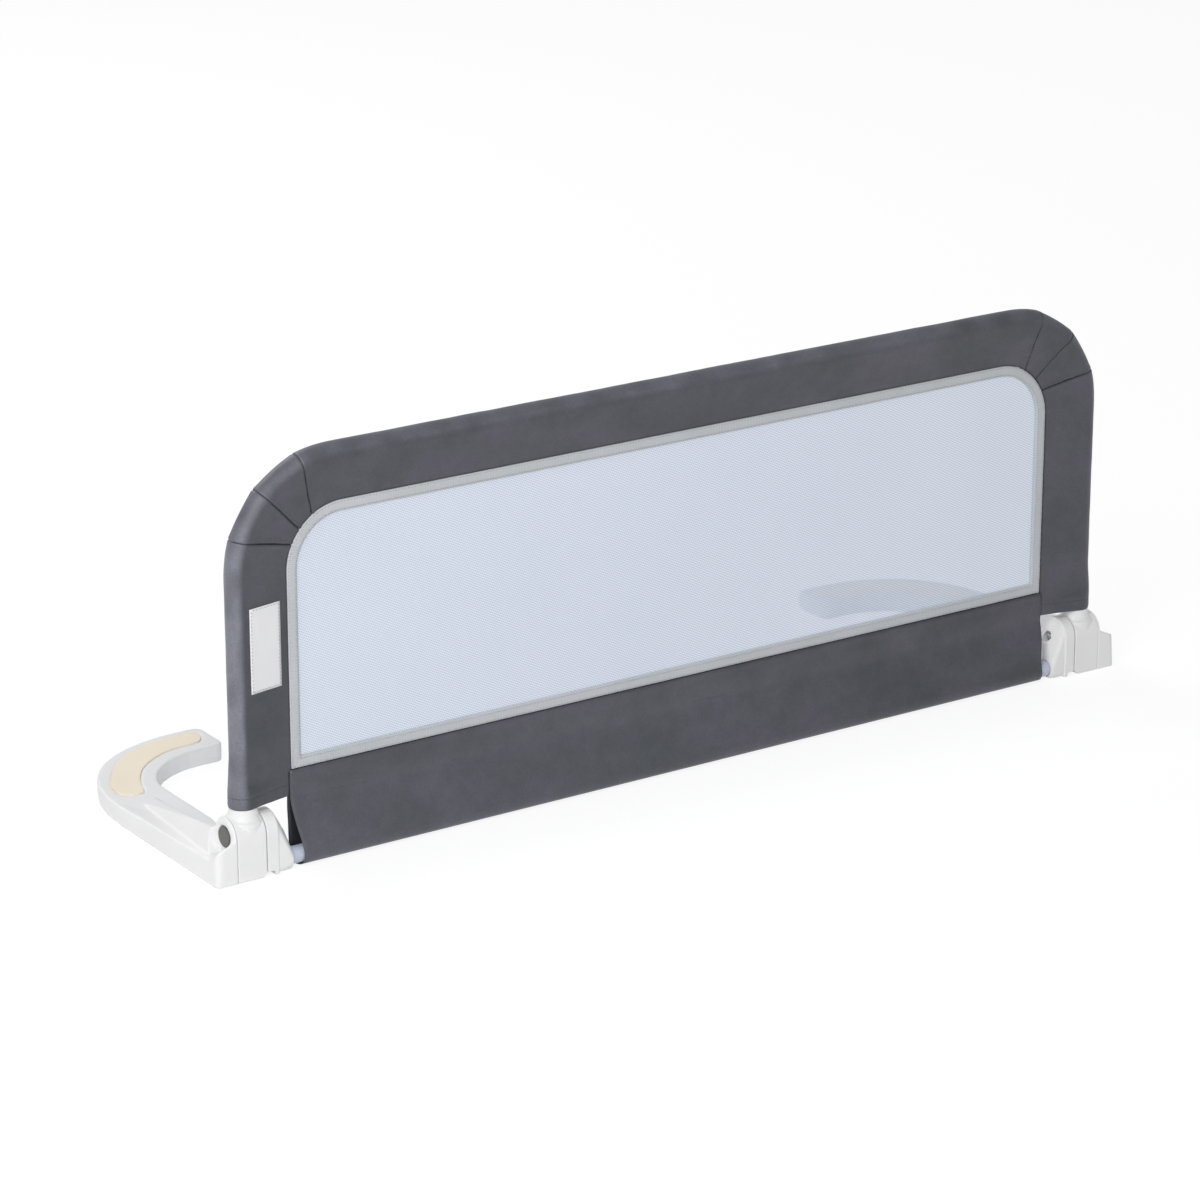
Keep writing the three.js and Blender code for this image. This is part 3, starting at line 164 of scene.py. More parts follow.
def woven_polyester():
    """Slate polyester cloth, woven from fine dyed yarn and calendered: cloudy dye, a plain weave
    rumpled by folding, which also lightens and darkens its colour a little, a painted highlight
    over the tube where the lamps on the left fall, and painted shade at the seams. The real
    threads are about 0.4 mm apart, drawn at 1.3 mm so that they show, and the yarn's slubs are
    drawn 2.4 mm wide for the same reason."""
    made, tree = material("woven slate polyester")
    flat = add(tree, "ShaderNodeUVMap", uv_map="cloth")
    place = add(tree, "ShaderNodeTexCoord")
    turns = wave_scale(1.3)
    warp = add(
        tree,
        "ShaderNodeTexWave",
        {"Vector": flat.outputs[0], "Scale": turns},
        bands_direction="X",
    )
    weft = add(
        tree,
        "ShaderNodeTexWave",
        {"Vector": flat.outputs[0], "Scale": turns},
        bands_direction="Y",
    )
    weave = add(
        tree,
        "ShaderNodeMath",
        {0: warp.outputs[1], 1: weft.outputs[1]},
        operation="MULTIPLY",
    )
    cloud = add(
        tree,
        "ShaderNodeTexNoise",
        {"Vector": place.outputs["Object"], "Scale": grain_scale(66.7), "Detail": 3.0},
    )
    slub = add(
        tree,
        "ShaderNodeTexNoise",
        {"Vector": place.outputs["Object"], "Scale": grain_scale(2.38), "Detail": 2.0},
    )
    rumple = add(
        tree,
        "ShaderNodeTexNoise",
        {"Vector": place.outputs["Object"], "Scale": grain_scale(12.5), "Detail": 3.0},
    )
    patch = add(
        tree,
        "ShaderNodeMapRange",
        {"Value": cloud.outputs[0], "From Min": 0.36, "From Max": 0.64},
    )
    dye = add(
        tree,
        "ShaderNodeMix",
        {"Factor": patch.outputs[0], "A": linear("#45494E"), "B": linear("#54525D")},
        data_type="RGBA",
    )
    # Painted highlight: the colour is mixed towards pale grey where the lamps on the left would
    # give a sheen.
    painted_highlight = add(tree, "ShaderNodeAttribute", attribute_name="painted_highlight")
    sheen = add(
        tree,
        "ShaderNodeMix",
        {"Factor": painted_highlight.outputs["Fac"], "A": dye.outputs["Result"], "B": linear("#7D7F8A")},
        data_type="RGBA",
    )
    # Painted shade: the colour is mixed towards near black at the seams, the window's edge and
    # shaded panel places.
    painted_shade = add(tree, "ShaderNodeAttribute", attribute_name="painted_shade")
    folded = add(
        tree,
        "ShaderNodeMix",
        {"Factor": painted_shade.outputs["Fac"], "A": sheen.outputs["Result"], "B": linear("#1E2027")},
        data_type="RGBA",
    )
    thread = add(
        tree,
        "ShaderNodeMapRange",
        {"Value": weave.outputs[0], "To Min": 0.86, "To Max": 1.1},
    )
    yarn = add(
        tree,
        "ShaderNodeMapRange",
        {"Value": slub.outputs[0], "To Min": 0.8, "To Max": 1.2},
    )
    # The rumples' noise also makes the colour a little lighter and darker.
    rumple_tone = add(
        tree,
        "ShaderNodeMapRange",
        {
            "Value": rumple.outputs[0],
            "From Min": 0.3,
            "From Max": 0.7,
            "To Min": 0.93,
            "To Max": 1.07,
        },
    )
    shade = add(
        tree,
        "ShaderNodeMath",
        {0: thread.outputs[0], 1: yarn.outputs[0]},
        operation="MULTIPLY",
    )
    shade = add(
        tree,
        "ShaderNodeMath",
        {0: shade.outputs[0], 1: rumple_tone.outputs[0]},
        operation="MULTIPLY",
    )
    tone = add(
        tree,
        "ShaderNodeVectorMath",
        {0: folded.outputs["Result"], "Scale": shade.outputs[0]},
        operation="SCALE",
    )
    height = add(
        tree,
        "ShaderNodeMath",
        {0: rumple.outputs[0], 1: 4.0, 2: weave.outputs[0]},
        operation="MULTIPLY_ADD",
    )
    relief = add(
        tree,
        "ShaderNodeBump",
        {"Height": height.outputs[0], "Strength": 0.25, "Distance": 0.0003},
    )
    cloth = add(
        tree,
        "ShaderNodeBsdfPrincipled",
        {
            "Base Color": tone.outputs[0],
            "Roughness": 0.45,
            "IOR": 1.5,
            "Sheen Weight": 0.2,
            "Sheen Roughness": 0.4,
            "Sheen Tint": linear("#B9B9C6"),
            "Normal": relief.outputs[0],
        },
    )
    add(tree, "ShaderNodeOutputMaterial", {"Surface": cloth.outputs[0]})
    return made


def knitted_net():
    """White polyester net, warp knitted: pale blue-white yarn in slanting rows, a quarter of it
    open and thin enough to glow, so that what is behind shows faintly. Yarn this fine scatters
    most of the light on through, so that a lamp behind it loses only a tenth. The real holes are
    about 1 mm apart, drawn at 2.2 mm so that the rows show."""
    made, tree = material("knitted polyester net")
    flat = add(tree, "ShaderNodeUVMap", uv_map="cloth")
    turned = add(
        tree,
        "ShaderNodeMapping",
        {"Vector": flat.outputs[0], "Rotation": (0, 0, math.radians(28))},
    )
    turns = wave_scale(2.2)
    rows = add(
        tree,
        "ShaderNodeTexWave",
        {"Vector": turned.outputs[0], "Scale": turns},
        bands_direction="Y",
    )
    loops = add(
        tree,
        "ShaderNodeTexWave",
        {"Vector": turned.outputs[0], "Scale": turns},
        bands_direction="X",
    )
    holes = add(
        tree,
        "ShaderNodeMath",
        {0: rows.outputs[1], 1: loops.outputs[1]},
        operation="MULTIPLY",
    )
    ramp = add(
        tree,
        "ShaderNodeMapRange",
        {
            "Value": holes.outputs[0],
            "From Min": 0.1,
            "From Max": 0.5,
            "To Min": 0.16,
            "To Max": 0.42,
        },
    )
    place = add(tree, "ShaderNodeTexCoord")
    cloud = add(
        tree,
        "ShaderNodeTexNoise",
        {"Vector": place.outputs["Object"], "Scale": grain_scale(167)},
    )
    dye = add(
        tree,
        "ShaderNodeMix",
        {"Factor": cloud.outputs[0], "A": linear("#CAD7EC"), "B": linear("#D3DEF1")},
        data_type="RGBA",
    )
    lines = add(
        tree,
        "ShaderNodeMapRange",
        {"Value": rows.outputs[1], "To Min": 1.04, "To Max": 0.9},
    )
    tone = add(
        tree,
        "ShaderNodeVectorMath",
        {0: dye.outputs["Result"], "Scale": lines.outputs[0]},
        operation="SCALE",
    )
    yarn = add(
        tree,
        "ShaderNodeBsdfPrincipled",
        {"Base Color": tone.outputs[0], "Roughness": 0.8, "IOR": 1.5, "Sheen Weight": 0.1},
    )
    glow = add(tree, "ShaderNodeBsdfTranslucent", {"Color": tone.outputs[0]})
    thin = add(tree, "ShaderNodeMixShader", {0: 0.3, 1: yarn.outputs[0], 2: glow.outputs[0]})
    gap = add(tree, "ShaderNodeBsdfTransparent")
    net = add(
        tree,
        "ShaderNodeMixShader",
        {0: ramp.outputs[0], 1: thin.outputs[0], 2: gap.outputs[0]},
    )
    path = add(tree, "ShaderNodeLightPath")
    passed = add(tree, "ShaderNodeBsdfTransparent", {"Color": linear("#F3F3F3")})
    lit = add(
        tree,
        "ShaderNodeMixShader",
        {0: path.outputs["Is Shadow Ray"], 1: net.outputs[0], 2: passed.outputs[0]},
    )
    add(tree, "ShaderNodeOutputMaterial", {"Surface": lit.outputs[0]})
    return made


def ribbed_tape():
    """Polyester tape, woven with a rib across it: pale grey, matt, cloudy, with fine cross ribs.
    The real ribs are 1 mm apart, drawn at 1.8 mm so that they show."""
    made, tree = material("woven ribbed tape")
    flat = add(tree, "ShaderNodeUVMap", uv_map="cloth")
    turns = wave_scale(1.8)
    ribs = add(
        tree,
        "ShaderNodeTexWave",
        {"Vector": flat.outputs[0], "Scale": turns},
        bands_direction="X",
    )
    place = add(tree, "ShaderNodeTexCoord")
    cloud = add(
        tree,
        "ShaderNodeTexNoise",
        {"Vector": place.outputs["Object"], "Scale": grain_scale(71.4), "Detail": 3.0},
    )
    dye = add(
        tree,
        "ShaderNodeMix",
        {"Factor": cloud.outputs[0], "A": linear("#B9C2C2"), "B": linear("#D1CFD7")},
        data_type="RGBA",
    )
    depth = add(
        tree,
        "ShaderNodeMapRange",
        {"Value": ribs.outputs[1], "To Min": 0.88, "To Max": 1.03},
    )
    tone = add(
        tree,
        "ShaderNodeVectorMath",
        {0: dye.outputs["Result"], "Scale": depth.outputs[0]},
        operation="SCALE",
    )
    relief = add(
        tree,
        "ShaderNodeBump",
        {"Height": ribs.outputs[1], "Strength": 0.3, "Distance": 0.0004},
    )
    tape = add(
        tree,
        "ShaderNodeBsdfPrincipled",
        {"Base Color": tone.outputs[0], "Roughness": 0.7, "IOR": 1.5, "Normal": relief.outputs[0]},
    )
    add(tree, "ShaderNodeOutputMaterial", {"Surface": tape.outputs[0]})
    return made


def moulded(name, dark, pale, roughness, grain, depth, ior=1.49):
    """Injection-moulded plastic or rubber: an even colour that drifts a little with the flow in
    the mould, and a spark-eroded grain. The real grain is about 0.1 mm wide, drawn as wide as is
    given in millimetres so that it shows."""
    made, tree = material(name)
    place = add(tree, "ShaderNodeTexCoord")
    flow = add(
        tree,
        "ShaderNodeTexNoise",
        {"Vector": place.outputs["Object"], "Scale": grain_scale(55.6), "Detail": 2.0},
    )
    colour = add(
        tree,
        "ShaderNodeMix",
        {"Factor": flow.outputs[0], "A": linear(dark), "B": linear(pale)},
        data_type="RGBA",
    )
    sparks = add(
        tree,
        "ShaderNodeTexNoise",
        {"Vector": place.outputs["Object"], "Scale": grain_scale(grain), "Detail": 2.0},
    )
    relief = add(
        tree,
        "ShaderNodeBump",
        {"Height": sparks.outputs[0], "Strength": 0.12, "Distance": depth},
    )
    gloss = add(
        tree,
        "ShaderNodeMapRange",
        {"Value": flow.outputs[0], "To Min": roughness - 0.05, "To Max": roughness + 0.06},
    )
    body = add(
        tree,
        "ShaderNodeBsdfPrincipled",
        {
            "Base Color": colour.outputs["Result"],
            "Roughness": gloss.outputs[0],
            "IOR": ior,
            "Normal": relief.outputs[0],
        },
    )
    add(tree, "ShaderNodeOutputMaterial", {"Surface": body.outputs[0]})
    return made


def coated_steel():
    """Steel tube, powder coated: bluish white with a faint orange peel."""
    made, tree = material("powder coated steel tube")
    place = add(tree, "ShaderNodeTexCoord")
    peel = add(
        tree,
        "ShaderNodeTexNoise",
        {"Vector": place.outputs["Object"], "Scale": grain_scale(1.11)},
    )
    relief = add(
        tree,
        "ShaderNodeBump",
        {"Height": peel.outputs[0], "Strength": 0.08, "Distance": 0.0002},
    )
    coat = add(
        tree,
        "ShaderNodeBsdfPrincipled",
        {
            "Base Color": linear("#C3CADB"),
            "Roughness": 0.35,
            "IOR": 1.5,
            "Coat Weight": 0.2,
            "Normal": relief.outputs[0],
        },
    )
    add(tree, "ShaderNodeOutputMaterial", {"Surface": coat.outputs[0]})
    return made


def plated_steel():
    """Steel, turned and zinc plated: bright grey with turning marks. The real marks are about
    0.2 mm apart, drawn at 1.4 mm so that they show."""
    made, tree = material("zinc plated steel")
    place = add(tree, "ShaderNodeTexCoord")
    marks = add(
        tree,
        "ShaderNodeTexNoise",
        {"Vector": place.outputs["Object"], "Scale": grain_scale(1.43), "Detail": 3.0},
    )
    gloss = add(
        tree,
        "ShaderNodeMapRange",
        {"Value": marks.outputs[0], "To Min": 0.25, "To Max": 0.45},
    )
    metal = add(
        tree,
        "ShaderNodeBsdfPrincipled",
        {"Base Color": linear("#A9ABAE"), "Metallic": 1.0, "Roughness": gloss.outputs[0]},
    )
    add(tree, "ShaderNodeOutputMaterial", {"Surface": metal.outputs[0]})
    return made


def sewing_thread(name, code):
    """Polyester thread, twisted: a little shine along the stitches. Its real twist is about
    0.3 mm long, drawn at 0.7 mm so that it shows."""
    made, tree = material(name)
    place = add(tree, "ShaderNodeTexCoord")
    twist = add(
        tree,
        "ShaderNodeTexNoise",
        {"Vector": place.outputs["Object"], "Scale": grain_scale(0.667)},
    )
    gloss = add(
        tree,
        "ShaderNodeMapRange",
        {"Value": twist.outputs[0], "To Min": 0.45, "To Max": 0.65},
    )
    thread = add(
        tree,
        "ShaderNodeBsdfPrincipled",
        {"Base Color": linear(code), "Roughness": gloss.outputs[0], "Sheen Weight": 0.2},
    )
    add(tree, "ShaderNodeOutputMaterial", {"Surface": thread.outputs[0]})
    return made


SLATE = woven_polyester()
NET = knitted_net()
TAPE = ribbed_tape()
POLYPROPYLENE = moulded("moulded white polypropylene", "#EDEDED", "#F4F4F5", 0.42, 0.5, 0.0002)
NYLON = moulded("moulded grey nylon", "#5C5C5A", "#6A6A68", 0.5, 0.5, 0.0002, 1.53)
GRIP_RUBBER = moulded("moulded cream rubber", "#F5E8D3", "#FBF1E0", 0.75, 0.8, 0.0004, 1.5)
SATIN_LABEL = moulded("woven satin label, bare", "#E6E6E9", "#EEEEF0", 0.55, 0.6, 0.0002)
TUBE_COAT = coated_steel()
ZINC = plated_steel()
DARK_THREAD = sewing_thread("dark sewing thread", "#3F4045")
PALE_THREAD = sewing_thread("pale sewing thread", "#A9AEAA")


# Making pieces


def make(name, points, faces, finish, uvs=None):
    """A smooth mesh piece with one finish, and its flat layout in millimetres as its UV map."""
    mesh = bpy.data.meshes.new(name)
    mesh.from_pydata(points, [], faces)
    mesh.update()
    if uvs is not None:
        layer = mesh.uv_layers.new(name="cloth")
        for loop in mesh.loops:
            u, v = uvs[loop.vertex_index]
            layer.data[loop.index].uv = (u / 1000, v / 1000)
    mesh.polygons.foreach_set("use_smooth", [True] * len(mesh.polygons))
    piece = bpy.data.objects.new(name, mesh)
    bpy.context.scene.collection.objects.link(piece)
    mesh.materials.append(finish)
    return piece


def grid_faces(rows, columns):
    """Faces between rows of places that follow one another."""
    faces = []
    for i in range(rows - 1):
        for k in range(columns - 1):
            a, b = i * columns + k, i * columns + k + 1
            faces.append((a, b, b + columns, a + columns))
    return faces


def cloth_piece(name, rows, finish, thickness):
    """A sheet of cloth through rows of places, thickened inwards, and its cut size in metres. A
    place of the cover also holds how much painted highlight and how much painted shade it takes."""
    columns = len(rows[0])
    marks = [p[3:] for row in rows for p in row]
    rows = [[p[:3] for p in row] for row in rows]
    points = [spot(*p) for row in rows for p in row]
    uvs = []
    along = 0
    for i, row in enumerate(rows):
        if i:
            middle = columns // 2
            along += (Vector(row[middle]) - Vector(rows[i - 1][middle])).length
        across = 0
        for k, p in enumerate(row):
            if k:
                across += (Vector(p) - Vector(row[k - 1])).length
            uvs.append((along, across))
    piece = make(name, points, grid_faces(len(rows), columns), finish, uvs)
    for mark, values in zip(("painted_highlight", "painted_shade"), zip(*marks)):
        layer = piece.data.attributes.new(mark, "FLOAT", "POINT")
        layer.data.foreach_set("value", values)
    shell = piece.modifiers.new("thickness", "SOLIDIFY")
    shell.thickness = thickness / 1000
    shell.offset = -1
    area = sum(face.area for face in piece.data.polygons)
    length = along / 1000
    return piece, (area / length, length)


# The cover

FLAT_STEPS = 16
ROUND_STEPS = 24


def cover_profile(radius, depth):
    """Places on the cover's section: (away from the window, across, outward direction, tag).
    The tag runs from 0 at the window's front edge to 1 round the tube and back to 0."""
    lean = math.asin((radius - EDGE) / depth)
    start = math.pi / 2 + lean
    front = (-radius * math.sin(lean), -radius * math.cos(lean))
    out = (-math.sin(lean), -math.cos(lean))
    side = []
    for i in range(FLAT_STEPS):
        t = (i / FLAT_STEPS) ** 1.5
        side.append((lerp(-depth, front[0], t), lerp(-EDGE, front[1], t), out, t * 0.6))
    around = []
    for i in range(ROUND_STEPS + 1):
        a = lerp(-start, start, i / ROUND_STEPS)
        around.append((radius * math.cos(a), radius * math.sin(a), (math.cos(a), math.sin(a)), 1))
    back = [(u, -v, (n[0], -n[1]), t) for u, v, n, t in reversed(side)]
    return side + around + back


def window_point(angle):
    """On the window's rounded corner, at an angle about the middle of the tube's bend."""
    cx, cz = WINDOW_X - WINDOW_CORNER - BEND_X, WINDOW_TOP - WINDOW_CORNER - BEND_Z
    along = cx * math.cos(angle) + cz * math.sin(angle)
    reach = along + math.sqrt(along**2 + WINDOW_CORNER**2 - cx**2 - cz**2)
    return BEND_X + reach * math.cos(angle), BEND_Z + reach * math.sin(angle)


def satin(place, normal):
    """How much painted highlight the cloth takes at a place, by its outward direction: most on the
    left post and its corner, a little along the top, and not on the right post, at the hem or at
    the back."""
    up = blend_in(place[2], BEND_Z, TUBE_Z)
    share = (place[0] + POST_X) / (2 * POST_X)
    strongest = lerp(lerp(1, 0.42, up), lerp(0, 0.3, up), share)
    drift = noise.noise(Vector(place) / 26)
    bend = blend_in(normal[0], -0.1, 0.5) * (1 - 0.6 * blend_in(normal[1], 0.1, 0.9))
    above = 0.55 + 0.45 * blend_in(place[2], 74, 112)
    return max(strongest * bend * above * (0.9 + 0.7 * drift), 0)


def cover_row(tube, edge, radius, seam, seed, mirror):
    """One row of the cover's places. seam is the distance to the nearest seam at the tube and at
    the window, and how far the cloth stands off the tube there."""
    depth = math.hypot(tube[0] - edge[0], tube[1] - edge[1])
    ax, az = (tube[0] - edge[0]) / depth, (tube[1] - edge[1]) / depth
    row = []
    for u, v, n, t in cover_profile(radius, depth):
        reach = min(max((u + depth) / depth, 0), 1)
        near = lerp(seam[1], seam[0], reach)
        lift = 0
        if t == 1:
            lift += seam[2] * (max(n[0], 0) if n[1] > 0 else blend_in(n[0], -0.18, 0.6))
        flat = math.sin(math.pi * min(max((u + depth) / (depth - 2), 0), 1)) if t < 1 else 0
        lift -= 0.7 * flat
        x, z = tube[0] + ax * u, tube[1] + az * u
        drift = noise.noise(Vector((x * mirror, v * 2, z)) / WAVE + Vector((seed, 0, 0)))
        fine = noise.noise(Vector((x * mirror, v * 2, z)) / RIPPLE + Vector((seed, 5, 0)))
        taut = reach * (1 - flat)
        lift += (0.9 * drift + 0.3 * fine) * flat + (0.3 * drift + 0.12 * fine) * taut
        groove = math.exp(-((near / GROOVE) ** 2))
        welt = math.exp(-(((near - WELT[0]) / WELT[1]) ** 2))
        pull = math.exp(-near / PUCKER_REACH) * math.sin((u + depth) * 0.6 + 9 * fine + seed)
        if t == 1:
            lift += max(0.15 * welt - 0.7 * groove, -0.6 - lift)
        else:
            lift += 0.4 * welt - 1.2 * groove + 0.4 * pull
        # Painted shade: darkest on a seam and where the cloth runs under the window's tape.
        painted_shade = max(math.exp(-((near / 0.5) ** 2)), 1 - blend_in(u + depth, 0, 1.6))
        u, v = u + n[0] * lift, v + n[1] * lift
        place = (tube[0] + ax * u) * mirror, v, tube[1] + az * u
        # Each place keeps its painted highlight round the tube and its painted shade at the seams
        # and window edge.
        row.append((*place, satin(place, n) if t == 1 else 0, 0.8 * painted_shade))
    return row


FAR = 999  # no seam near


def row_shares(length, steps, first_seam, last_seam):
    """Shares from 0 to 1 along a length in millimetres, closer together beside a seam."""
    close = (0, 0.5, 1, 1.7, 2.6, 3.8)
    shares = {d / length for d in close} if first_seam else {0}
    shares |= {1 - d / length for d in close} if last_seam else {1}
    low = close[-1] / length if first_seam else 0
    high = 1 - close[-1] / length if last_seam else 1
    even = {i / steps for i in range(steps) if low + 0.02 < i / steps < high - 0.02}
    return sorted(shares | even)


def corner_rows(start, end, steps, seed, mirror, first_seam, last_seam):
    """Rows round the top corner from one seam to the next, drawn a little straight over the tube
    between them, so that the corner shows a slight point at each seam."""
    rows = []
    half = math.radians(end[0] - start[0]) / 2
    at_tube = half * 2 * CORNER_OUTER
    at_window = math.radians(end[1] - start[1]) * CORNER_INNER
    for t in row_shares(at_tube, steps, first_seam, last_seam):
        turn, angle = (math.radians(lerp(start[k], end[k], t)) for k in (0, 1))
        tube = BEND_X + BEND_R * math.cos(turn), BEND_Z + BEND_R * math.sin(turn)
        edge = window_point(angle)
        swing = (t - 0.5) * 2 * half
        chord = 0.45 * ((CORNER_OUTER - 0.5) / math.cos(swing) - BEND_R - SLEEVE_R)
        if not first_seam:
            chord = 0.75 * blend_in(t, 0.2, 1)
        if not last_seam:
            chord = 0.75 * blend_in(1 - t, 0.2, 1)
        gap = [FAR, FAR]
        for k, length in enumerate((at_tube, at_window)):
            if first_seam:
                gap[k] = min(gap[k], t * length)
            if last_seam:
                gap[k] = min(gap[k], (1 - t) * length)
        rows.append(cover_row(tube, edge, SLEEVE_R, (gap[0], gap[1], chord), seed, mirror))
    return rows


def post_rows(mirror):
    """Rows up one post: over the collar at the hem, past the window, to the first corner seam.
    Above the collar the cloth comes in slowly on its outer and front side."""
    rows = []
    z = COVER_BOTTOM
    while z < BEND_Z - 1:
        inwards = blend_in(z, *COLLAR_TOP)
        radius = lerp(GRIP_R, SLEEVE_R, inwards)
        radius -= 0.5 * (1 - blend_in(z, COVER_BOTTOM, COVER_BOTTOM + 2.5))
        radius -= 0.35 * math.exp(-(((z - HEM_LINE) / 1.1) ** 2))
        slack = (GRIP_R - SLEEVE_R) * (inwards - blend_in(z, COLLAR_TOP[0], SLACK_TOP))
        edge = PANEL_X + 0.3 if z < WINDOW_BOTTOM else WINDOW_X
        seam = FAR, FAR, slack
        rows.append(cover_row((POST_X, z), (edge, z), radius, seam, POST_SEED, mirror))
        z += 1 if z < 82 else 2 if z < 125 else 4
    return rows + corner_rows((0, 0), SEAMS[0], 14, POST_SEED, mirror, False, True)


def top_rows():
    """Rows along the top, from one side's last corner seam to the other's."""
    right = corner_rows(SEAMS[2], (90, 90), 14, TOP_SEED, 1, True, False)
    left = corner_rows(SEAMS[2], (90, 90), 14, TOP_SEED, -1, True, False)
    middle = []
    x = BEND_X - 4
    while x > -BEND_X + 1:
        drop = WINDOW_TOP
        beyond = abs(x) - (WINDOW_X - WINDOW_CORNER)
        if beyond > 0:
            drop -= WINDOW_CORNER - math.sqrt(WINDOW_CORNER**2 - beyond**2)
        middle.append(cover_row((x, TUBE_Z), (x, drop), SLEEVE_R, (FAR, FAR, 0), TOP_SEED, 1))
        x -= 4
    return right + middle + left[::-1]


def cover():
    """The cover's sewn parts. The post parts and the corner gussets are mirrored."""
    made = []
    for side, mirror in (("left", -1), ("right", 1)):
        lower = corner_rows(SEAMS[0], SEAMS[1], 16, LOWER_SEED, mirror, True, True)
        upper = corner_rows(SEAMS[1], SEAMS[2], 16, UPPER_SEED, mirror, True, True)
        parts = (
            ("post_cover", post_rows(mirror), "post_sleeve"),
            ("lower_corner", lower, "lower_gusset"),
            ("upper_corner", upper, "upper_gusset"),
        )
        for name, rows, node in parts:
            if mirror < 0:
                rows = [row[::-1] for row in rows]
            piece, flat = cloth_piece(f"{side}_{name}", rows, SLATE, CLOTH)
            made.append((piece, flat, f"{side}_{node}", f"{side}_post_tube"))
    piece, flat = cloth_piece("top_cover", top_rows(), SLATE, CLOTH)
    made.append((piece, flat, "top_sleeve", "top_tube"))
    for piece, flat, node, tube in made:
        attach(piece, "frame")
        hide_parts(node)


# The window


def window_outline(margin, step=4):
    """Places round the window, inset by a margin, with the lower corners square."""
    half, top, bottom = WINDOW_X - margin, WINDOW_TOP - margin, WINDOW_BOTTOM + margin
    r = WINDOW_CORNER - margin
    places = []

    def straight(a, b):
        count = max(int(math.dist(a, b) / step), 1)
        for i in range(count):
            places.append((lerp(a[0], b[0], i / count), lerp(a[1], b[1], i / count)))

    straight((-half, bottom), (half, bottom))
    straight((half, bottom), (half, top - r))
    turns = round(r * math.pi / 2 / step)
    for i in range(turns):
        a = math.pi / 2 * i / turns
        places.append((half - r + r * math.cos(a), top - r + r * math.sin(a)))
    straight((half - r, top), (-half + r, top))
    for i in range(turns):
        a = math.pi / 2 * (1 + i / turns)
        places.append((-half + r + r * math.cos(a), top - r + r * math.sin(a)))
    straight((-half, top - r), (-half, bottom))
    return places


def window_binding():
    """The pale tape folded over the edge of the net, all the way round, mitred at the square
    lower corners and puckered round the upper ones."""
    profile = list(TAPE_SECTION) + [(inset, -y) for inset, y in reversed(TAPE_SECTION)]
    corner = WINDOW_X - BINDING / 2, WINDOW_BOTTOM + BINDING / 2
    base = [
        place
        for place in window_outline(BINDING / 2, 1.8)
        if not 0 < math.dist((abs(place[0]), place[1]), corner) < BINDING / 2 + 0.5
    ]
    points, uvs, along = [], [], 0
    for i, place in enumerate(base):
        if i:
            along += math.dist(place, base[i - 1])
        rib = 0.1 * math.sin(along * 0.9)
        rib += 0.25 * noise.noise(Vector((place[0], 0, place[1])) / 30)
        bend = min(abs(place[0]) - WINDOW_X + WINDOW_CORNER, place[1] - WINDOW_TOP + WINDOW_CORNER)
        around = 0
        for k, (inset, y) in enumerate(profile):
            x, z = outline_at(base, i, BINDING / 2 - inset)
            pucker = 0.3 * blend_in(bend, -8, 20) * math.sin(along * 0.95 + inset * 0.5)
            pucker *= blend_in(inset, 2, 6)
            points.append(spot(x, y + (rib + pucker) * (1 if y > 0 else -1) * (abs(y) > 2), z))
            around += math.dist(profile[k], profile[k - 1]) if k else 0
            uvs.append((along, around))
    columns, rows = len(profile), len(base)
    faces = []
    for i in range(rows):
        for k in range(columns):
            a, b = i * columns + k, i * columns + (k + 1) % columns
            c, d = (i + 1) % rows * columns + (k + 1) % columns, (i + 1) % rows * columns + k
            faces.append((a, b, c, d))
    piece = make("window_tape", points, faces, TAPE, uvs)
    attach(piece, "frame")
    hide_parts("window_binding")
    return piece


def outline_at(base, i, outwards):
    """A place on the window's outline moved outwards, with the square corners kept square."""
    before, here, after = base[i - 1], base[i], base[(i + 1) % len(base)]
    first = Vector((here[0] - before[0], here[1] - before[1])).normalized()
    last = Vector((after[0] - here[0], after[1] - here[1])).normalized()
    normal = Vector((first.y + last.y, -first.x - last.x)).normalized()
    reach = outwards / max(normal.dot(Vector((first.y, -first.x))), 0.5)
    return here[0] + normal.x * reach, here[1] + normal.y * reach


def window_net():
    """The net, stretched in the tape, with a very slight slackness."""
    rows, columns = 60, 220
    inwards = BINDING - NET_TUCK
    half, top, bottom = WINDOW_X - inwards, WINDOW_TOP - inwards, WINDOW_BOTTOM + inwards
    r = WINDOW_CORNER - inwards
    points, uvs = [], []
    for i in range(rows + 1):
        z = lerp(bottom, top, i / rows)
        inset = 0
        if z > top - r:
            inset = r - math.sqrt(max(r**2 - (z - top + r) ** 2, 0))
        for k in range(columns + 1):
            x = lerp(-half + inset, half - inset, k / columns)
            edge = min(half - inset - abs(x), z - bottom, top - z) / 40
            slack = min(max(edge, 0), 1)
            y = 0.8 * noise.noise(Vector((x / 160, 0, z / 60))) * slack
            points.append(spot(x, y, z))
            uvs.append((x, z))
    faces = grid_faces(rows + 1, columns + 1)
    piece = make("window_net", points, faces, NET, uvs)
    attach(piece, "frame")
    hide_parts("window_mesh")


# The lower panel


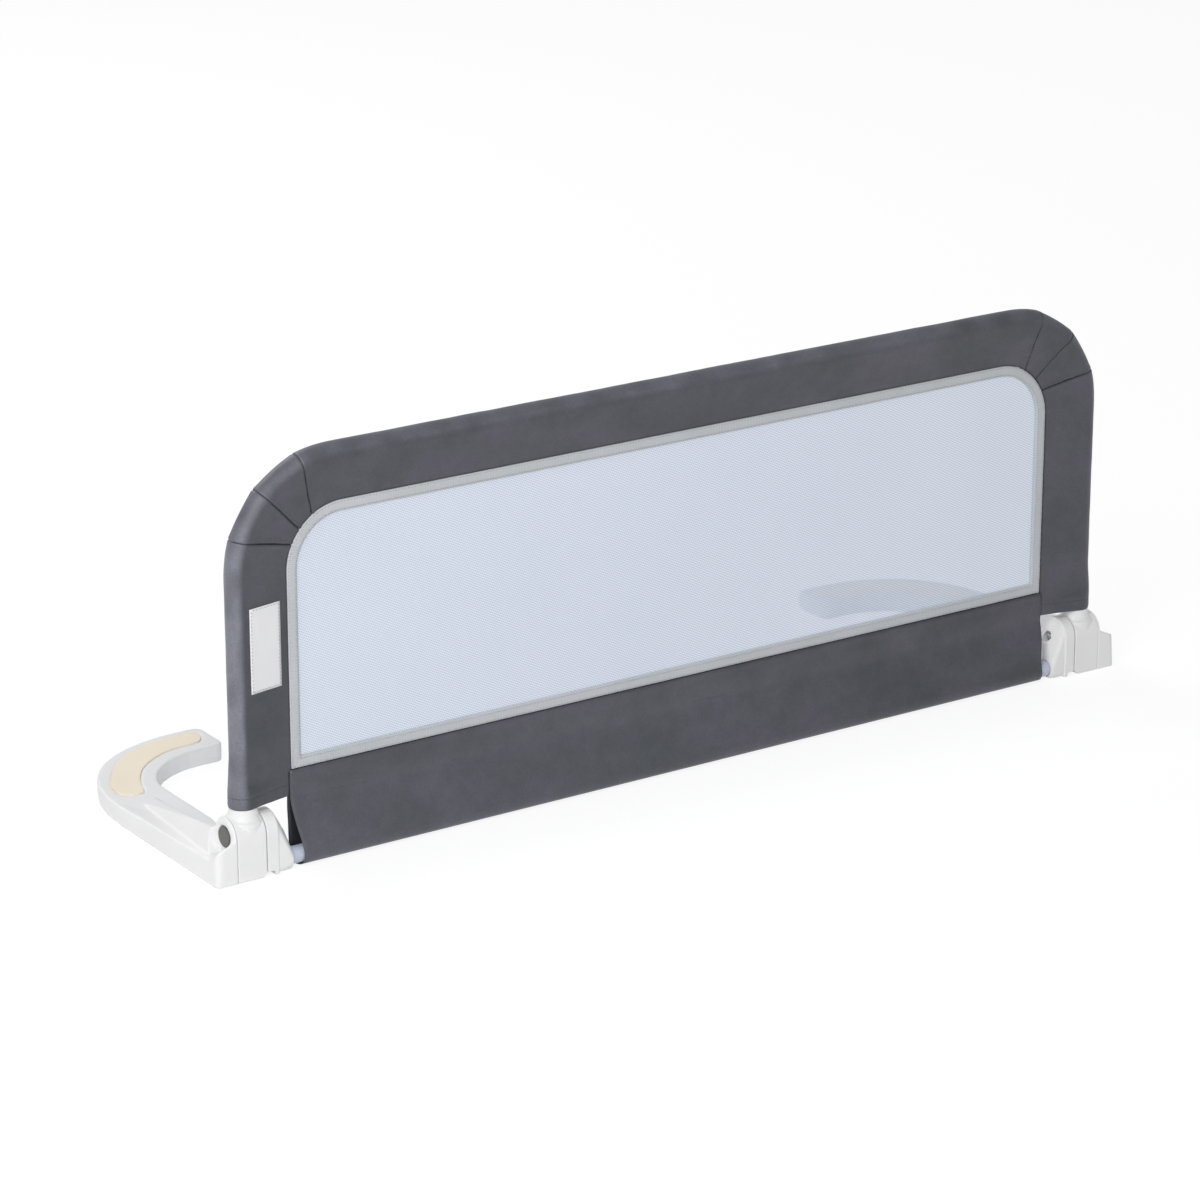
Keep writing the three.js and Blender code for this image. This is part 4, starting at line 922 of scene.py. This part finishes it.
def panel_profile():
    """Places of the panel's section (y, z): down the front, round the pocket and up the back."""
    y, z, r = POCKET
    half = EDGE

    def lean(side):
        to = Vector((side - y, POCKET_TOP - z))
        return to.angle_signed(Vector((1, 0))), math.acos(r / to.length)

    front, back = lean(-half), lean(half)
    start, end = front[0] + front[1], 2 * math.pi + back[0] - back[1]
    places = [(-half, lerp(WINDOW_BOTTOM - 0.3, POCKET_TOP, i / 8)) for i in range(8)]
    first = (y + r * math.cos(start), z + r * math.sin(start))
    places += [
        (lerp(-half, first[0], i / 14), lerp(POCKET_TOP, first[1], i / 14)) for i in range(14)
    ]
    places += [
        (y + r * math.cos(lerp(start, end, i / 22)), z + r * math.sin(lerp(start, end, i / 22)))
        for i in range(23)
    ]
    last = places[-1]
    places += [
        (lerp(last[0], half, i / 12), lerp(last[1], POCKET_TOP, i / 12)) for i in range(1, 12)
    ]
    return places + [(half, lerp(POCKET_TOP, WINDOW_BOTTOM - 0.3, i / 6)) for i in range(7)]


def panel_place(x, y, z, face):
    """Where a place on the panel's section hangs: drawn in at the pocket, and a little wavy."""
    free = blend_in(z, 18, 30) * (1 - blend_in(z, 78, 90))
    sway = 1.4 * noise.noise(Vector((x / 70, face, z / 22)))
    creases = 0.6 * noise.noise(Vector((x / 16, face * 3, z / 60)))
    low = lerp(PANEL_LOW_X, PANEL_X - 1, blend_in(y, POCKET[0] - POCKET[2], EDGE))
    half = lerp(low, PANEL_X, blend_in(z, 14, 74))
    return x * half / PANEL_X, y + (sway + creases) * free, z


def lower_panel():
    """The dark panel under the window, with its pocket for the cross tube. Its front has painted
    light, paler to the left, and painted shade at the top right, and inside its ends the back has
    painted shade."""
    profile = panel_profile()
    rows = []
    x = -PANEL_X
    while x < PANEL_X + 0.1:
        row = []
        for k, (y, z) in enumerate(profile):
            face = -1 if y < POCKET[0] + 1 or k < len(profile) // 2 else 1
            high = blend_in(z, 58, 84)
            if face > 0:
                pale = 0
                # Painted shade on the back, inside the panel's ends.
                shaded = 0.75 * blend_in(abs(x), 418, 430) * (1 - blend_in(z, 56, 74))
            else:
                # Painted light, paler to the left, and painted shade at the top right.
                pale = 0.2 * blend_in(-x, -PANEL_X, PANEL_X) * lerp(1, 0.35, high)
                shaded = 0.16 * blend_in(x, 200, PANEL_X) * high
            row.append((*panel_place(x, y, z, face), pale, shaded))
        rows.append(row)
        x += 4
    rows = [row[::-1] for row in rows]
    piece, flat = cloth_piece("lower_panel_cloth", rows, SLATE, CLOTH)
    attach(piece, "frame")
    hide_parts("lower_panel")


# Moulded parts, softened from the frame's own shapes


def softened(node, body, finish, slot, voxel, rounds, ease):
    """A moulded part: the frame's solid with the small radii that a mould gives its edges, and
    eased inwards where it slides in another part. voxel is its mesh's step and ease how far it
    goes in, in millimetres, and rounds is how often it is smoothed."""
    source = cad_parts[node]
    piece = bpy.data.objects.new(f"{node}_moulding", source.data.copy())
    bpy.context.scene.collection.objects.link(piece)
    remesh = piece.modifiers.new("skin", "REMESH")
    remesh.mode = "VOXEL"
    remesh.voxel_size = voxel / 1000
    easing = piece.modifiers.new("ease", "DISPLACE")
    easing.mid_level = 0
    easing.strength = -ease / 1000
    smooth = piece.modifiers.new("soft", "SMOOTH")
    smooth.factor = 0.5
    smooth.iterations = rounds
    graph = bpy.context.evaluated_depsgraph_get()
    mesh = bpy.data.meshes.new_from_object(piece.evaluated_get(graph))
    piece.modifiers.clear()
    piece.data = mesh
    mesh.materials.clear()
    mesh.materials.append(finish)
    mesh.polygons.foreach_set("use_smooth", [True] * len(mesh.polygons))
    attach(piece, body)
    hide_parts(node)


MOULDED_PARTS = (  # node, body, finish, slot, voxel, rounds, ease
    ("foot_arm", "foot", POLYPROPYLENE, "white_plastic", 1.05, 9, 0),
    ("hinge_block", "", POLYPROPYLENE, "white_plastic", 0.45, 3, 0),
    ("inner_bracket", "", POLYPROPYLENE, "white_plastic", 0.6, 3, 0),
    ("release_button", "button", NYLON, "grey_plastic", 0.35, 3, 0),
    ("grip_pad", "foot", GRIP_RUBBER, "cream_rubber", 0.5, 3, 0),
    ("lock_gear", "lock", NYLON, "grey_plastic", 0.35, 2, 0.15),
)


def mouldings():
    """The plastic and rubber parts of both sides, and the coil behind each lock gear. A part with
    no body of its side rides on the frame."""
    for side in ("left", "right"):
        for node, body, *rest in MOULDED_PARTS:
            softened(f"{side}_{node}", f"{side}_{body}" if body else "frame", *rest)
        lock_spring(side)


def lock_spring(side):
    """The coil between the block and the lock gear, riding on the frame."""
    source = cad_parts[f"{side}_lock_spring"]
    piece = bpy.data.objects.new(f"{side}_spring_coil", source.data.copy())
    bpy.context.scene.collection.objects.link(piece)
    piece.data.materials.clear()
    piece.data.materials.append(ZINC)
    piece.data.polygons.foreach_set("use_smooth", [True] * len(piece.data.polygons))
    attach(piece, "frame")
    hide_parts(f"{side}_lock_spring")
    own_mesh(piece)


# Stitches


def stitch_row(places, normals, pitch, points, faces):
    """Adds a row of stitches along places given in the layout: a small bar every pitch."""
    sides = STITCH_SIDES
    travelled, target = 0, pitch / 2
    for a, b, n in zip(places, places[1:], normals):
        a, b, n = Vector(a), Vector(b), Vector(n).normalized()
        length = (b - a).length
        if not length:
            continue
        along = (b - a) / length
        across = along.cross(n).normalized()
        while target <= travelled + length:
            middle = a + along * (target - travelled) + n * 0.12
            base = len(points)
            for step, size in STITCH:
                dip = -0.25 if abs(step) > 1 else 0
                for i in range(sides):
                    turn = 2 * math.pi * i / sides
                    offset = across * math.cos(turn) * size + n * (math.sin(turn) * size + dip)
                    p = middle + along * step + offset
                    points.append(spot(p.x, p.y, p.z))
            last = base + (len(STITCH) - 1) * sides
            for ring in range(base, last, sides):
                for i in range(sides):
                    near, far = ring + i, ring + (i + 1) % sides
                    faces.append((near, far, far + sides, near + sides))
            faces.append(tuple(base + i for i in reversed(range(sides))))
            faces.append(tuple(last + i for i in range(sides)))
            target += pitch
        travelled += length


def stitches():
    """Rows of stitches: both edges of the tape, the panel's seams, and the hem of each post."""
    points, faces = [], []
    for face in (-1, 1):
        for inset in (2.0, 9.4):
            ring = window_outline(inset)
            ring.append(ring[0])
            places = [(x, face * 2.85, z) for x, z in ring]
            stitch_row(places, [(0, face, 0)] * len(places), TAPE_PITCH, points, faces)
    piece = make("tape_stitches", points, faces, PALE_THREAD)
    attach(piece, "frame")
    points, faces = [], []
    for side in (-1, 1):
        across = range(-PANEL_X + 4, PANEL_X - 3, 6)
        line = [(x, side * (EDGE + 0.1), POCKET_TOP + 1.5) for x in across]
        stitch_row(line, [(0, side, 0)] * len(line), SEAM_PITCH, points, faces)
        line = [panel_place(side * (PANEL_X - 5), y, z, -1) for y, z in panel_profile()[3:22]]
        stitch_row(line, [(0, -1, 0)] * len(line), HEM_PITCH, points, faces)
    for mirror in (-1, 1):
        radius, depth = GRIP_R - 0.35, POST_X - PANEL_X - 0.3
        tube, edge = (POST_X, HEM_LINE), (PANEL_X + 0.3, HEM_LINE)
        line = cover_row(tube, edge, radius, (FAR, FAR, 0), POST_SEED, mirror)
        normals = [(n[0] * mirror, n[1], 0) for _, _, n, _ in cover_profile(radius, depth)]
        stitch_row([place[:3] for place in line], normals, HEM_PITCH, points, faces)
    piece = make("cover_stitches", points, faces, DARK_THREAD)
    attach(piece, "frame")


# The bare label on the left post


def post_label():
    """A plain woven label, sewn on all round and left bare."""
    low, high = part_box("sewn_patch")
    depth = POST_X - WINDOW_X
    lean = math.asin((SLEEVE_R - EDGE) / depth)
    centre = (low + high) / 2
    cx, cz = centre.x * 1000, centre.z * 1000

    def front(x):
        return -(SLEEVE_R / math.cos(lean)) + (POST_X + x) * math.tan(lean)

    wide, tall = LABEL_HALF
    rows = []
    for i in range(25):
        row = []
        for k in range(13):
            u, v = lerp(-wide, wide, k / 12), lerp(-tall, tall, i / 24)
            rim = min(wide - abs(u), tall - abs(v))
            lift = 0.15 * blend_in(rim, 0, 2) - 0.2 * math.exp(-(((rim - LABEL_SEAM) / 0.7) ** 2))
            y = front(cx + u) - 0.15 - lift
            y -= 0.2 * noise.noise(Vector((u, 0, v)) / 14)
            row.append((cx + u, y, cz + v))
        rows.append(row)
    piece, flat = cloth_piece("post_label", rows, SATIN_LABEL, 0.35)
    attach(piece, "frame")
    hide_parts("sewn_patch")
    points, faces = [], []
    u, v = wide - LABEL_SEAM, tall - LABEL_SEAM
    inner = [(-u, -v), (u, -v), (u, v), (-u, v)]
    for a, b in zip(inner, inner[1:] + inner[:1]):
        line = []
        for i in range(9):
            x = cx + lerp(a[0], b[0], i / 8)
            line.append((x, front(x) - 0.3, cz + lerp(a[1], b[1], i / 8)))
        out = math.sin(lean), -math.cos(lean), 0
        stitch_row(line, [out] * len(line), TAPE_PITCH, points, faces)
    piece = make("label_stitches", points, faces, PALE_THREAD)
    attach(piece, "frame")


# Frame parts that keep their own shape


def frame_finishes():
    """Finishes of the tubes and fasteners, which keep the frame's own solids."""
    finishes = {
        "post_tube": TUBE_COAT,
        "cross_tube": TUBE_COAT,
        "top_tube": TUBE_COAT,
        "post_screw": ZINC,
        "pivot_bolt": ZINC,
        "pivot_nut": ZINC,
    }
    for name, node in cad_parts.items():
        for ending, finish in finishes.items():
            if name.endswith(ending):
                node.data.materials.clear()
                node.data.materials.append(finish)


# Stage, light and camera


def stage():
    """A plain pale floor that shows white to the camera and keeps a soft shadow."""
    made, tree = material("studio floor")
    ray = add(tree, "ShaderNodeLightPath")
    matt = add(tree, "ShaderNodeBsdfDiffuse", {"Color": linear("#F4F4F4")})
    camera_ray, glossy, passed = (
        ray.outputs[f"Is {kind} Ray"] for kind in ("Camera", "Glossy", "Transmission")
    )
    seen = add(tree, "ShaderNodeMath", {0: camera_ray, 1: glossy}, operation="MAXIMUM")
    seen = add(tree, "ShaderNodeMath", {0: seen.outputs[0], 1: passed}, operation="MAXIMUM")
    part = add(tree, "ShaderNodeMath", {0: seen.outputs[0], 1: 0.75}, operation="MULTIPLY")
    white = add(tree, "ShaderNodeEmission", {"Color": linear("#FFFFFF"), "Strength": 1.1})
    both = add(
        tree,
        "ShaderNodeMixShader",
        {0: part.outputs[0], 1: matt.outputs[0], 2: white.outputs[0]},
    )
    add(tree, "ShaderNodeOutputMaterial", {"Surface": both.outputs[0]})
    mesh = bpy.data.meshes.new("floor")
    half = 30
    corners = [(-half, -half, 0), (half, -half, 0), (half, half, 0), (-half, half, 0)]
    mesh.from_pydata(corners, [], [(0, 1, 2, 3)])
    mesh.materials.append(made)
    floor = bpy.data.objects.new("floor", mesh)
    bpy.context.scene.collection.objects.link(floor)

    world = bpy.data.worlds.new("studio")
    world.use_nodes = True
    tree = world.node_tree
    tree.nodes.clear()
    ray = add(tree, "ShaderNodeLightPath")
    dim = add(tree, "ShaderNodeBackground", {"Color": linear("#FFFFFF"), "Strength": 0.45})
    bright = add(tree, "ShaderNodeBackground", {"Color": linear("#FFFFFF"), "Strength": 1.0})
    both = add(
        tree,
        "ShaderNodeMixShader",
        {0: ray.outputs["Is Camera Ray"], 1: dim.outputs[0], 2: bright.outputs[0]},
    )
    add(tree, "ShaderNodeOutputWorld", {"Surface": both.outputs[0]})
    bpy.context.scene.world = world


def lamp(name, place, size, watts):
    """A soft square lamp that faces the rail."""
    data = bpy.data.lights.new(name, "AREA")
    data.shape = "SQUARE"
    data.size = size
    data.energy = watts
    made = bpy.data.objects.new(name, data)
    bpy.context.scene.collection.objects.link(made)
    made.location = place
    middle = Vector((0, 0, 0.2))
    made.rotation_euler = (middle - Vector(place)).to_track_quat("-Z", "Y").to_euler()


def lights():
    """The studio's lamps: places and sizes in metres, power in watts."""
    lamp("key", (-3.2, -2.0, 3.4), 1.9, 43)
    lamp("fill", (-1.6, -1.8, 1.3), 1.5, 22)
    lamp("rim", (-0.5, 3.0, 2.6), 2.2, 42)


def camera():
    """The photograph's view, from the left front. Its lens, place and aim were solved from it."""
    data = bpy.data.cameras.new("camera")
    data.lens = 132.66
    data.sensor_width = 36
    made = bpy.data.objects.new("camera", data)
    bpy.context.scene.collection.objects.link(made)
    place = spot(-2308.7, -3279.6, 1572.4)
    target = spot(-98.07, 0, 188.68)
    made.location = place
    made.rotation_euler = (target - place).to_track_quat("-Z", "Y").to_euler()
    data.clip_end = 100
    bpy.context.scene.camera = made


camera()
stage()
lights()
cover()
tape = window_binding()
window_net()
lower_panel()
mouldings()
stitches()
post_label()
frame_finishes()
bpy.context.scene.view_settings.view_transform = "Standard"
